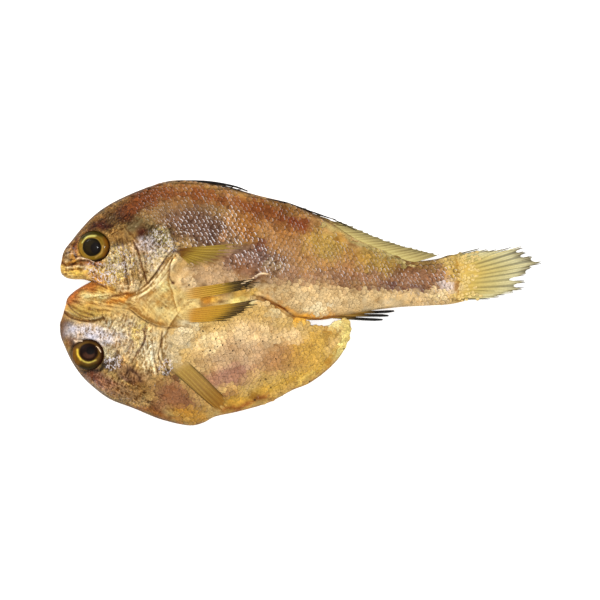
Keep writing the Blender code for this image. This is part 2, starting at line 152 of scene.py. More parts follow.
# Crumpled skin: middle, half-lengths and turn of each area, height of its crumples, their size, and the
# direction and stretch that they are drawn out in.
CRUMPLES = (
    ((-84, 18), (18, 13), 0, 0.34, 2.0, 100, 1.5),
    ((-92, 40), (26, 10), 30, 0.3, 1.9, 40, 1.4),
    ((-88, -24), (24, 18), 0, 0.3, 1.9, 70, 1.4),
    ((-66, 30), (10, 8), -30, 0.45, 1.8, 60, 1.2),
    ((-82, -46), (30, 8), -20, 0.34, 1.8, -35, 1.4),
    ((-98, 2), (18, 7), -10, 0.3, 2.2, -15, 2.0),
    ((-110, 20), (7, 10), 0, 0.4, 2.0, 0, 1.5),
    ((-66, 6), (16, 12), -30, 0.03, 3.4, 50, 2.2),
    ((-40, -2), (24, 9), 0, 0.04, 3.2, 5, 2.0),
    ((0, 0), (90, 70), 0, 0.05, 2.4, -50, 1.6),
)
# Eye sockets: middle and half-lengths along X and Y.
SOCKETS = {"upper": ((-98.6, 26.8), (7.9, 7.4)), "lower": ((-101.6, -24.8), (7.9, 7.4))}
SOCKET_DEPTH = 3.2
# Folds of skin that lie over the rim of an eye: line, rise and width.
LIDS = (
    ([(-110, 19.2), (-106.4, 20.9), (-102.6, 20.9), (-99.8, 19.9), (-97.8, 18)], 0.7, 0.8),
    ([(-108.4, -18.2), (-104, -18.7), (-100.2, -19.5), (-97, -21.4), (-95.4, -23.8)], 0.6, 0.7),
)
EYE_RIM = 0.7
EYE_RIM_WIDTH = 0.15


def ease(share):
    """A smooth step from 0 to 1."""
    share = np.clip(share, 0, 1)
    return share * share * (3 - 2 * share)


def arch(share):
    """A quarter round: 0 at share 0, rising steeply, level at share 1."""
    return np.sqrt(1 - (1 - np.clip(share, 0, 1)) ** 2)


def smooth_line(points, per_span=12):
    """A Catmull-Rom line through the points; control point k is at index k * per_span."""
    p = np.array(points, float)
    p = np.vstack([2 * p[0] - p[1], p, 2 * p[-1] - p[-2]])
    u = np.arange(per_span)[:, None] / per_span
    spans = []
    for a, b, c, d in zip(p[:-3], p[1:-2], p[2:-1], p[3:]):
        bent = (2 * a - 5 * b + 4 * c - d) * u**2 + (3 * b - a - 3 * c + d) * u**3
        spans.append(0.5 * (2 * b + (c - a) * u + bent))
    return np.vstack([*spans, p[-2:-1]])


def spaced(line, spans):
    """The line again, as spans + 1 points an equal way apart."""
    steps = np.r_[0, np.cumsum(np.linalg.norm(np.diff(line, axis=0), axis=1))]
    want = np.linspace(0, steps[-1], spans + 1)
    return np.column_stack([np.interp(want, steps, line[:, k]) for k in range(line.shape[1])])


def sections(line, cuts, columns, per_span=12):
    """A line through all the points, cut at the named control points and spaced section by section."""
    whole = smooth_line(line, per_span)
    parts = [spaced(whole[a * per_span : b * per_span + 1], n) for a, b, n in zip(cuts, cuts[1:], columns)]
    return np.vstack([parts[0], *(part[1:] for part in parts[1:])])


def joined(lines, columns):
    """Separate smooth lines that meet at corners, spaced section by section."""
    parts = [spaced(smooth_line(line), n) for line, n in zip(lines, columns)]
    return np.vstack([parts[0], *(part[1:] for part in parts[1:])])


def profile(pairs, x):
    """The smooth line through the (place, value) pairs, read at x."""
    line = smooth_line(pairs)
    return np.interp(x, line[:, 0], line[:, 1])


def nearest(xy, line):
    """Distance from each point to the line, and whether it lies on the line's left."""
    best = np.full(len(xy), np.inf)
    left = np.zeros(len(xy), bool)
    for a, b in zip(line, line[1:]):
        along = b - a
        share = np.clip(((xy - a) @ along) / (along @ along), 0, 1)
        off = xy - (a + share[:, None] * along)
        distance = np.linalg.norm(off, axis=1)
        closer = distance < best
        best[closer] = distance[closer]
        left[closer] = (along[0] * off[:, 1] - along[1] * off[:, 0])[closer] > 0
    return best, left


def wander(xy, size, seed):
    """Smooth random values from -1 to 1 at the points, with hills about one size apart."""
    table = np.random.default_rng(seed).uniform(-1, 1, (128, 128))
    cell = xy / size
    low = np.floor(cell).astype(int)
    u, v = ease(cell - low).T
    i, j = low.T % 128
    i2, j2 = (i + 1) % 128, (j + 1) % 128
    near = table[i, j] * (1 - u) + table[i2, j] * u
    far = table[i, j2] * (1 - u) + table[i2, j2] * u
    return near * (1 - v) + far * v


def patch_share(xy, centre, radii, turn=0.0, soft=0.5):
    """1 inside an ellipse and 0 outside it. The turn is in degrees, anticlockwise."""
    c, s = math.cos(math.radians(turn)), math.sin(math.radians(turn))
    off = (xy - centre) @ np.array([[c, -s], [s, c]])
    return ease((1 + soft / 2 - np.linalg.norm(off / radii, axis=1)) / soft)


def stroke_share(xy, line, width):
    """1 on the smooth line through the points, fading to 0 at a few widths from it."""
    path = spaced(smooth_line(line), max(20, 6 * len(line)))
    share = np.zeros(len(xy))
    close = np.all((xy > path.min(axis=0) - 3 * width) & (xy < path.max(axis=0) + 3 * width), axis=1)
    distance, _ = nearest(xy[close], path)
    share[close] = np.exp(-((distance / width) ** 2))
    return share


def crumples(xy, size, turn, stretch):
    """Sharp-crested random wrinkles from about -1 to 1, drawn out along the turn."""
    c, s = math.cos(math.radians(turn)), math.sin(math.radians(turn))
    u = (xy @ (c, s)) / stretch
    v = (xy @ (-s, c)) * stretch
    drawn = np.column_stack([u, v])
    coarse = 1 - 2 * np.abs(wander(drawn, size, 5))
    return coarse + 0.6 * (1 - 2 * np.abs(wander(drawn, size * 0.5, 6))) - 0.4


def skin_relief(xy):
    """Height that the gill covers, plates, lips, folds, sockets and wrinkles add to the skin."""
    height = 0.24 * wander(xy, 11.0, 1) + 0.14 * wander(xy, 4.2, 2) + 0.05 * wander(xy, 2.0, 3)
    for _, line, step, fade in PLATES:
        distance, left = nearest(xy, spaced(smooth_line(line), 24))
        height += step * np.exp(-((distance / np.where(left, fade, PLATE_LIP)) ** 2))
    for _, line, rise, width in FOLDS:
        height += rise * stroke_share(xy, line, width)
    for _, line, width, colour, strength in LINES[: -len(EDGE_SHADE_LINES)]:
        up = 1 if sum(colour) > PALE_SUM else -1
        height += LINE_RISE * strength * up * stroke_share(xy, line, width)
    for centre, radii, turn, rise, size, grain_turn, stretch in CRUMPLES:
        height += patch_share(xy, centre, radii, turn) * rise * crumples(xy, size, grain_turn, stretch)
    lid = np.max([stroke_share(xy, line, width) for line, _, width in LIDS], axis=0)
    for centre, radii in SOCKETS.values():
        out = np.linalg.norm((xy - centre) / radii, axis=1)
        height += EYE_RIM * np.exp(-(((out - 1 - EYE_RIM_WIDTH / 2) / EYE_RIM_WIDTH) ** 2)) * (1 - lid)
        height -= SOCKET_DEPTH * ease((1.05 - out) / 0.2) * (1 - lid)
    for line, rise, width in LIDS:
        height += rise * stroke_share(xy, line, width)
    return height


def crests(height):
    """How far each point of a height grid stands above (to 1) or below (to -1) its surroundings."""
    found = np.zeros(height.shape)
    for passes, full in CREST_SEARCHES:
        smooth = height.copy()
        for _ in range(passes):
            for axis in (0, 1):
                last = smooth.shape[axis] - 1
                before = smooth.take(np.clip(np.arange(-1, last), 0, last), axis)
                after = smooth.take(np.clip(np.arange(1, last + 2), 0, last), axis)
                smooth = smooth / 2 + (before + after) / 4
        found += 0.5 * np.clip((height - smooth) / full, -1, 1)
    return found


def half_fish(belly, back, crest, cut_back, columns):
    """Grids (column, row, xyz) of one half's skin and cut face, from the belly line to the back line, and
    how far the skin stands up from its surroundings."""
    t = np.linspace(0, 1, ROWS + 1)
    xy = belly[:, None] * (1 - t[None, :, None]) + back[:, None] * t[None, :, None]
    x = xy[:, ROWS // 2, 0]
    # 1 where the belly side is a free edge, as at the lips and the tail, and 0 where the halves join.
    section = np.concatenate([[0], *(k + np.arange(1, n + 1) / n for k, n in enumerate(columns))])
    free = 1 - ease((section - LIPS_END[0]) / LIPS_END[1])
    free += ease((section - TAIL_BEGINS[0]) / TAIL_BEGINS[1])
    top_of = profile(crest, x)
    seam = profile(SEAM_HEIGHT, belly[:, 0])
    place = profile(CREST_PLACE, x)
    edge = np.minimum(cut_back, 0.6 * top_of)

    belly_share = t[None, :] / place[:, None]
    back_share = (1 - t[None, :]) / (1 - place[:, None])
    joined_rise = np.sin(np.clip(belly_share, 0, 1) * np.pi / 2) ** 1.4
    belly_rise = free[:, None] * arch(belly_share) + (1 - free[:, None]) * joined_rise
    on_belly_side = belly_share < 1
    start = np.where(on_belly_side, seam[:, None], edge[:, None])
    rise = np.where(on_belly_side, belly_rise, arch(back_share))
    skin = start + (top_of[:, None] - start) * rise
    fade = ease(10 * np.minimum(t, 1 - t))[None, :] ** free[:, None]
    skin += skin_relief(xy.reshape(-1, 2)).reshape(skin.shape) * fade

    # The cut face is flat on the table, hollow under the belly, and turned up at free edges.
    vault = VAULT_SHARE * seam[:, None] * (1 - free[:, None]) * (1 - ease(t[None, :] / 0.6))
    turn = 0.12 + 0.24 * ease((x[:, None] - 5) / 40)
    belly_turn = 0.35 * seam[:, None] * free[:, None] * (1 - arch(t[None, :] / turn))
    back_turn = 0.3 * edge[:, None] * (1 - arch((1 - t[None, :]) / turn))
    under = vault + belly_turn + back_turn
    skin = np.maximum(skin, under + LEAST_WALL)
    edge_fade = np.where(t < 0.5, ease(25 * t)[None, :] ** free[:, None], ease(25 * (1 - t))[None, :])
    stands = crests(skin) * edge_fade
    return np.dstack([xy, skin]), np.dstack([xy, under])[:, ::ROWS_PER_CUT_ROW], stands


def closed_half(mesh, layers, skin, under, stands, shared, is_flap):
    """Adds one half's skin, cut face and rounded edges. Columns in the shared range have no belly edge."""
    cut, flap, spread, crest = layers
    step = ROWS_PER_CUT_ROW
    top = [[mesh.verts.new(p * MM) for p in column] for column in skin]
    for column, values in zip(top, stands):
        for vert, value in zip(column, values):
            vert[crest] = value
    low = [[mesh.verts.new(p * MM) for p in column] for column in under]
    for column in low:
        for vert in column:
            vert[cut] = 1.0
    for grid, material in ((top, SKIN), (low, CUT_FACE)):
        for a, b in zip(grid, grid[1:]):
            for k in range(len(a) - 1):
                face = mesh.faces.new((a[k], b[k], b[k + 1], a[k + 1]))
                face.material_index = material
    rims = {}
    for end in (-1, 0):
        lines = []
        for i in range(len(top)):
            apart = (skin[i, end] - skin[i, end - 1 if end else 1])[:2]
            outward = apart / max(np.linalg.norm(apart), 1e-6)
            joins = end == 0 and shared[0] <= i <= shared[1]
            line = [top[i][end]]
            high, deep = skin[i, end], under[i, end]
            for row in range(1, RIM_ROWS + 1):
                share = row / (RIM_ROWS + 1)
                bulge = 0.0 if joins else RIM_BULGE * math.sin(math.pi * share)
                if end == 0 and shared[0] < i < shared[1]:
                    continue
                place = high + (deep - high) * share
                place[:2] += outward * bulge
                vert = mesh.verts.new(place * MM)
                vert[spread] = (*(outward * (high[2] - place[2])), 0.0)
                vert[cut] = 0.4
                line.append(vert)
            low[i][end][spread] = (*(outward * (high[2] - deep[2])), 0.0)
            line.append(low[i][end])
            lines.append(line)
        for i in range(len(top) - 1):
            if end == 0 and shared[0] <= i < shared[1]:
                continue
            for k in range(RIM_ROWS + 1):
                corners = (lines[i][k], lines[i + 1][k], lines[i + 1][k + 1], lines[i][k + 1])
                mesh.faces.new(corners).material_index = EDGE
        rims[end] = lines
    for end in (0, -1):
        loop = top[end] + rims[-1][end][1:-1] + low[end][::-1] + rims[0][end][1:-1][::-1]
        mesh.faces.new(loop).material_index = EDGE
    for vert in [v for column in top + low for v in column]:
        vert[flap] = is_flap


def half_grids():
    """Skin and cut-face grids of both halves."""
    upper_belly = joined((UPPER_LIP, THROAT_SEAM, BELLY_SEAM, TAIL_UNDERSIDE), UPPER_COLUMNS)
    upper_back = sections(UPPER_BACK, UPPER_BACK_CUTS, UPPER_COLUMNS)
    lower_belly = joined((CHIN, THROAT_SEAM, BELLY_SEAM, FLAP_GAP), LOWER_COLUMNS)
    lower_back = sections(LOWER_BACK, LOWER_BACK_CUTS, LOWER_COLUMNS)
    upper = half_fish(upper_belly, upper_back, UPPER_CREST, CUT_BACK_UPPER, UPPER_COLUMNS)
    lower = half_fish(lower_belly, lower_back, LOWER_CREST, CUT_BACK_LOWER, LOWER_COLUMNS)
    return upper, lower


# Colours of the dried skin, and of the glints and shade painted on it, as they look in soft white light, 0
# to 255, from bleached to nearly black.
BLEACHED = (255, 240, 165)
BUTTER = (255, 235, 140)
CREAM = (250, 220, 160)
WARM_CREAM = (240, 206, 152)
DRY_CREAM = (235, 215, 165)
GREY_CREAM = (225, 205, 160)
PALE_GOLD = (240, 200, 110)
STRAW = (220, 190, 120)
PARCHMENT = (215, 195, 150)
BELLY_CREAM = (212, 180, 128)
HORN = (200, 180, 140)
YELLOW_SKIN = (215, 190, 95)
GOLD = (230, 185, 80)
AMBER = (240, 175, 75)
BRIGHT_ORANGE = (255, 195, 70)
ORANGE = (220, 150, 55)
OCHRE = (200, 155, 60)
SILVER = (210, 200, 200)
GLINT_PEARL = (223, 203, 190)
PEACH = (215, 170, 110)
PINK_TAN = (190, 155, 115)
LIGHT_TAN = (195, 140, 90)
DULL_GOLD = (195, 170, 105)
GREY_GOLD = (170, 150, 90)
OLIVE_GOLD = (176, 142, 64)
BROWN_GOLD = (175, 125, 45)
COPPER = (170, 110, 45)
TAN = (170, 118, 68)
ROSE_TAN = (160, 110, 90)
DULL_TAN = (155, 115, 70)
STRIPE_BROWN = (148, 104, 74)
BURNT_ORANGE = (175, 95, 35)
KHAKI = (145, 115, 60)
OLIVE_BROWN = (140, 102, 50)
LIGHT_BROWN = (150, 95, 35)
MAUVE = (128, 96, 86)
BROWN = (125, 80, 30)
GREY_BROWN = (125, 76, 50)
BRIGHT_RUST = (140, 70, 25)
RUST = (122, 64, 24)
DARK_RUST = (115, 48, 20)
DARK_MAUVE = (106, 73, 53)
UMBER = (105, 73, 32)
DARK_BROWN = (100, 60, 24)
OLIVE_SHADOW = (92, 80, 48)
SCORCHED = (98, 32, 12)
PLUM = (75, 30, 50)
# also painted shadow by the lower breast fin
DRIED_BLOOD_AND_SHADE = (74, 20, 8)
MAROON = (85, 5, 5)
OXBLOOD = (60, 5, 5)
# also painted shadow at the upper breast fin's root
DARK_OIL_AND_SHADE = (36, 5, 8)
INK = (5, 5, 10)
UPPER_GROUND = (167, 130, 73)
FLAP_GROUND = (195, 158, 90)

# The skin's colour is laid on as broad areas first: name, middle, half-lengths, turn in degrees, finish and
# strength.
AREAS = (
    ("tan flank", (19, 25), (38, 13), -14, TAN, 0.9),
    ("belly cream", (0, 4), (40, 7), -6, BELLY_CREAM, 0.95),
    ("belly by the tail", (48, 1), (32, 5), 0, BELLY_CREAM, 0.95),
    ("tail stem", (60, 16), (24, 9), -8, DARK_BROWN, 0.9),
    ("mauve flank", (-22, 19), (17, 8), -8, MAUVE, 0.9),
    ("mauve shoulder", (-53, 38), (17, 9), -10, DARK_MAUVE, 0.95),
    ("dark mauve flank", (-41, 33), (12, 7), 0, DARK_MAUVE, 0.85),
    ("belly by the breast fin", (-42, 13), (15, 5), 0, PINK_TAN, 0.9),
    ("copper flank", (-25, 37), (7, 8), 0, COPPER, 0.9),
    ("brown spot of the flank", (-7, 34), (5, 5), 0, LIGHT_BROWN, 0.6),
    ("olive glow", (12, 28), (11, 7), -15, OLIVE_GOLD, 0.8),
    ("olive flank", (36, 20), (11, 6), -15, OLIVE_GOLD, 0.7),
    ("olive stem", (60, 19.5), (7, 4), -10, KHAKI, 0.8),
    ("gold of the stem", (74, 21), (6, 3.5), 10, DULL_GOLD, 0.8),
    ("pink of the stem", (72.5, 12.5), (7, 4.5), 0, PINK_TAN, 0.85),
    ("cream of the stem", (79, 6), (6, 3.6), 15, CREAM, 0.9),
    ("crown", (-90.5, 42), (13, 6), 35, UMBER, 0.95),
    ("forehead", (-100, 37.5), (8, 4), 45, OXBLOOD, 0.8),
    ("nape", (-77, 49), (10, 4.5), 25, INK, 0.9),
    ("behind the eye", (-86.5, 28.5), (6, 6), 0, OLIVE_BROWN, 0.9),
    ("cheek", (-86.5, 19.5), (8, 7), 0, STRAW, 0.9),
    ("straw cheek", (-95, 14), (7, 4.5), -20, STRAW, 0.9),
    ("snout", (-109.5, 23), (4.5, 4.5), 0, AMBER, 0.9),
    ("snout tip", (-112.5, 18.5), (3.6, 4), 0, BROWN_GOLD, 0.8),
    ("pale skin by the nostril", (-112.6, 21.8), (1.6, 1.9), 0, WARM_CREAM, 0.9),
    ("copper skin under it", (-109.7, 19.6), (1.7, 1.2), 0, COPPER, 0.8),
    ("upper lip", (-106, 15), (8, 2), 0, GOLD, 0.9),
    ("gill cover", (-70, 20.5), (5, 7), 0, HORN, 0.9),
    ("gill cover top", (-77, 36.5), (7, 3.4), 0, OLIVE_SHADOW, 0.8),
    ("purple blotch", (-75, 33.4), (4, 3.2), -20, DRIED_BLOOD_AND_SHADE, 0.9),
    # grey gold skin of the shoulder, laid as a patch of painted glints
    ("grey gold of the shoulder", (-66.5, 30), (7, 4), -35, GREY_GOLD, 0.9),
    ("throat", (-60, 0), (17, 8), -5, STRAW, 0.95),
    ("mouth folds", (-101, -4.6), (13, 3.4), -12, OLIVE_GOLD, 0.8),
    ("chin pale", (-100, 6.5), (8, 2.4), 12, YELLOW_SKIN, 0.8),
    ("lower snout", (-114, -13), (5, 7.4), -10, DARK_BROWN, 0.95),
    ("lower cheek", (-87.5, -13), (9, 7), 0, PARCHMENT, 0.9),
    ("silver of the lower cheek", (-87.6, -18), (6, 4), 0, SILVER, 0.6),
    ("cream of the lower cheek", (-83, -23), (7, 7), 0, BELLY_CREAM, 0.8),
    ("yellow of the lower cheek", (-76.6, -15.6), (3, 6), 0, YELLOW_SKIN, 0.6),
    ("dark skin by the lower eye", (-90.5, -27.1), (4.4, 5), 0, DARK_OIL_AND_SHADE, 0.85),
    ("lower gill cover", (-72, -23), (6, 10), 0, GREY_CREAM, 0.9),
    ("lower gill edge", (-65, -20.5), (3.4, 7), 0, HORN, 0.9),
    ("lower crown", (-94, -38), (12, 4.5), -35, ROSE_TAN, 0.9),
    ("plum of the lower crown", (-80.5, -35.3), (7, 3.2), -20, PLUM, 0.85),
    ("lower nape", (-84, -43), (11, 3.4), -20, DULL_TAN, 0.9),
    ("lower shoulder", (-60, -45), (12, 6), -28, GREY_BROWN, 0.9),
    # painted glints behind the lower gill
    ("horn behind the lower gill", (-60.2, -26.6), (3, 4.6), 0, HORN, 0.8),
    ("flap corner", (-53, -54), (9, 4), -15, BROWN_GOLD, 0.9),
    ("pink tan of the flap", (-29, -25), (20, 10), 10, PINK_TAN, 0.9),
    ("flap rose", (-35, -35.5), (13, 5), 15, ROSE_TAN, 0.85),
    ("flap tan", (-7.5, -26.5), (13, 6), 20, TAN, 0.8),
    ("flap ochre", (6, -22), (12, 7), 30, OCHRE, 0.75),
    ("orange by the gap", (0.5, -8), (5, 2), 0, BRIGHT_ORANGE, 0.9),
    ("golden tail root", (83, 12), (11, 14), 0, GOLD, 0.95),
    # painted glints on the tail stem
    ("pearl of the stem", (71.5, 8), (5.5, 3.6), 0, GLINT_PEARL, 0.8),
    ("pale belly of the stem", (66, 4.2), (6, 2.6), 0, CREAM, 0.8),
    # painted glints on the temple
    ("pearl temple", (-74.4, 28), (4, 4), 0, GLINT_PEARL, 0.8),
    ("dark of the nape", (-81, 42), (6, 3.4), 25, INK, 0.85),
    ("rust by the snout", (-109.6, 26.4), (2.4, 3), 35, BRIGHT_RUST, 0.8),
    ("brown by the breast fin tip", (-33.6, -45.6), (3.4, 2.4), 20, GREY_BROWN, 0.8),
    ("cream of the flap", (-44, -19), (7, 5), 15, CREAM, 0.8),
    ("cream of the flap's middle", (-24, -14), (10, 5), 5, WARM_CREAM, 0.7),
    ("ochre between the belly fins", (-28, 4.6), (7, 3), 10, OCHRE, 0.8),
    ("pale skin by the throat", (-54.7, -12.6), (6, 3), -5, GREY_CREAM, 0.8),
    ("pale skin under the breast fin", (-55.6, 10.4), (4, 4.4), 0, WARM_CREAM, 0.8),
    ("dark lower nape", (-76.8, -40), (5, 3), -20, BROWN, 0.8),
    ("dark under the lower eye", (-102.4, -35.4), (6, 2.4), -30, SCORCHED, 0.8),
    ("shadow by the lower breast fin", (-61, -35.4), (3, 2.6), -30, DRIED_BLOOD_AND_SHADE, 0.85),
    ("brown of the lower shoulder", (-68.6, -49), (5, 3), -20, GREY_BROWN, 0.8),
    ("pale gold cheek", (-88, 12.6), (6, 3.4), 0, PALE_GOLD, 0.7),
    ("pale jaw skin", (-98, 3.6), (6, 2.6), 0, BLEACHED, 0.7),
    ("shadow at the breast fin's root", (-59, 23.2), (2.8, 2.2), -20, DARK_OIL_AND_SHADE, 0.85),
    ("cream by the flap's end", (-5, -17), (7, 4), 0, WARM_CREAM, 0.7),
    ("pale belly by the gap", (8, -3), (6, 2.4), 5, GREY_CREAM, 0.8),
    ("butter of the flap's edge", (3.4, -36), (5, 2.4), 30, BUTTER, 0.8),
    ("horn by the lower gill", (-56.6, -18), (4.4, 4), 0, HORN, 0.8),
    ("orange between the belly fins", (-45.6, 2.6), (5, 1.8), 0, BRIGHT_ORANGE, 0.8),
    ("pale skin under the gill cover", (-83, 8.6), (4.4, 2.2), 0, WARM_CREAM, 0.8),
    ("pale skin between the belly fins", (-28.4, 0.6), (6, 1.8), 0, BUTTER, 0.8),
    ("pale patch of the flank", (-13, 15.6), (5, 3.4), 0, GREY_CREAM, 0.7),
    ("maroon patch of the flank", (-19, 27.4), (4, 3), 0, MAROON, 0.7),
    ("rust under the eye", (-99.8, 18.4), (4, 2), 0, BRIGHT_RUST, 0.8),
    ("peach under the cheek", (-96.5, 11), (4, 2.4), 0, PEACH, 0.8),
    ("dark of the flap's corner", (-31.6, -47.6), (5, 1.8), 20, DARK_OIL_AND_SHADE, 0.8),
    ("rust by the lower eye", (-109, -19.7), (3, 3), 0, RUST, 0.8),
    ("rust of the lower shoulder", (-70.4, -52.6), (7, 2), -20, DARK_RUST, 0.8),
    ("cream of the flap's end", (16.6, -25), (4, 6), 0, CREAM, 0.7),
    ("pale corner by the gap", (16, -11.4), (4, 2.6), 0, BLEACHED, 0.8),
    ("dark of the crown", (-84, 43.7), (4.4, 2.6), 30, INK, 0.8),
    ("dark back above the red", (-6.7, 46), (5, 1.8), -18, OXBLOOD, 0.8),
    ("pale belly by the breast", (-12.5, -6), (5, 2), 0, DRY_CREAM, 0.8),
    # painted glints by the lower eye
    ("cream by the lower eye", (-92.2, -23.5), (3.6, 2.6), 0, DRY_CREAM, 0.8),
    ("pale gill skin", (-64.6, 9), (3.4, 3), 30, BLEACHED, 0.8),
)
# Streaks come next: name, line, half-width, finish and strength. Narrow folds, creases and edges come last,
# in the same way, each with a colour of its own. The dark ones in creases, cracks, openings and nostrils
# are painted shade over the skin's own darker colour there, and the pale ones on crests painted light over
# its paler colour.
STREAKS = (
    ("flank stripe", [(-34, 19.4), (-15, 14.6), (9, 11.8), (29, 12.2), (48, 10.3), (69, 12.7)],
     3.4, STRIPE_BROWN, 0.8),
    ("rust back", [(-83, 45.4), (-72, 51), (-60, 53), (-43, 51), (-27, 46.3), (-12, 42)], 5.2, RUST, 0.95),
    ("rust of the lower back", [(-20.4, 46.8), (-13.7, 43), (-6, 39.6), (0.7, 36.7)], 3.8, RUST, 0.9),
    ("dark rust of the back", [(-6, 40), (-1.5, 38.4), (4, 35.5)], 2.6, DARK_RUST, 0.7),
    ("first pale bar", [(-34.3, 50.2), (-33.8, 43.4), (-35.8, 35.8), (-37.2, 30)], 1.5, LIGHT_TAN, 0.65),
    ("second pale bar", [(-15.6, 37.7), (-14.2, 33.8), (-14.6, 28)], 1.9, TAN, 0.65),
    ("gill skin", [(-61.7, 22.8), (-67.4, 13.2), (-77, 3.6)], 4.2, CREAM, 0.9),
    ("jaw", [(-111.6, 1.2), (-105.8, 7), (-98.6, 8.4)], 3.2, BURNT_ORANGE, 0.9),
    ("second jaw streak", [(-111.6, 3.4), (-108.5, 6.6), (-104.6, 9.4)], 1.8, BURNT_ORANGE, 0.85),
    ("lip edge", [(-114.5, 16.6), (-111.6, 13.2), (-106.8, 11.8), (-101, 11.3)], 1.2, PALE_GOLD, 0.9),
    ("brow", [(-106.5, 31), (-103, 36.5), (-97, 38.6), (-91.5, 36)], 1.8, OXBLOOD, 0.85),
    ("dark back of the head",
     [(-113.5, 22), (-110.5, 27.4), (-105.5, 34), (-99, 40.5), (-92, 45.5), (-84, 49.5)],
     2.0, OLIVE_BROWN, 0.85),
    ("orbit of the upper eye", [(-105.2, 19.6), (-107.6, 24.6), (-107, 30)], 1.1, BRIGHT_RUST, 0.8),
    ("orbit of the lower eye",
     [(-108.6, -19.5), (-109.9, -25), (-107.8, -30.5), (-103, -33.2), (-97, -32.4), (-93.4, -28.5)],
     1.3, INK, 0.9),
    ("dark back of the lower head",
     [(-113.6, -22.5), (-110, -29.2), (-104.6, -36), (-97.6, -42), (-88, -47), (-78, -51)],
     1.5, OLIVE_BROWN, 0.7),
    ("dark edge of the lower shoulder", [(-80, -50), (-73, -52.4), (-66, -55), (-58, -57.4)],
     1.2, LIGHT_BROWN, 0.8),
    ("dark skin by the spines", [(-17, 48.6), (-7, 46.2), (0.4, 43.8), (7, 41)], 1.2, BROWN, 0.8),
    ("plum of the stem", [(40, 8.4), (48, 6.8), (56, 6.2), (62, 7)], 1.6, PLUM, 0.7),
    ("maroon under the stripe", [(18, 8.4), (27, 7.2), (38, 6.6)], 1.5, MAROON, 0.6),
    ("pale skin by the soft fin", [(10, 39.2), (26.6, 29.4), (40, 23.2), (50, 18.4)], 1.3, GREY_GOLD, 0.85),
    ("amber lip", [(-101.5, 12.2), (-96.7, 9.4), (-91.4, 7)], 1.4, AMBER, 0.8),
    ("throat orange", [(-92.4, 1.6), (-86.6, 2.6), (-81.8, 4.2)], 1.4, ORANGE, 0.9),
    ("silver snout", [(-109.7, -12.7), (-101, -14.6), (-92.9, -16)], 3.4, SILVER, 0.95),
    ("dark over the lower gill", [(-84.7, -31.4), (-80.9, -34.3), (-74.6, -35.3), (-69.8, -33.4)],
     2.4, DULL_TAN, 0.8),
    ("ochre flap edge",
     [(-34.8, -50.6), (-24.2, -45.8), (-12.2, -40), (-0.2, -36.2), (9.4, -31.4), (16.6, -23.8)],
     3.6, OCHRE, 0.9),
    ("rust flap edge", [(-37.7, -51.6), (-26.6, -48.7), (-17, -44.9)], 1.4, BRIGHT_RUST, 0.8),
    ("pale flap end", [(21.8, -9.4), (22.8, -17), (19, -25.7)], 2.4, BUTTER, 0.8),
    ("rust under the breast fin", [(-54, -36.2), (-48.2, -42), (-42.5, -49.2)], 2.0, DARK_RUST, 0.5),
    ("orange of the crease", [(-16.3, 2.9), (-8.4, -2.6), (-0.2, -6.7), (8.4, -7.2), (14.2, -6)],
     1.4, ORANGE, 0.6),
)
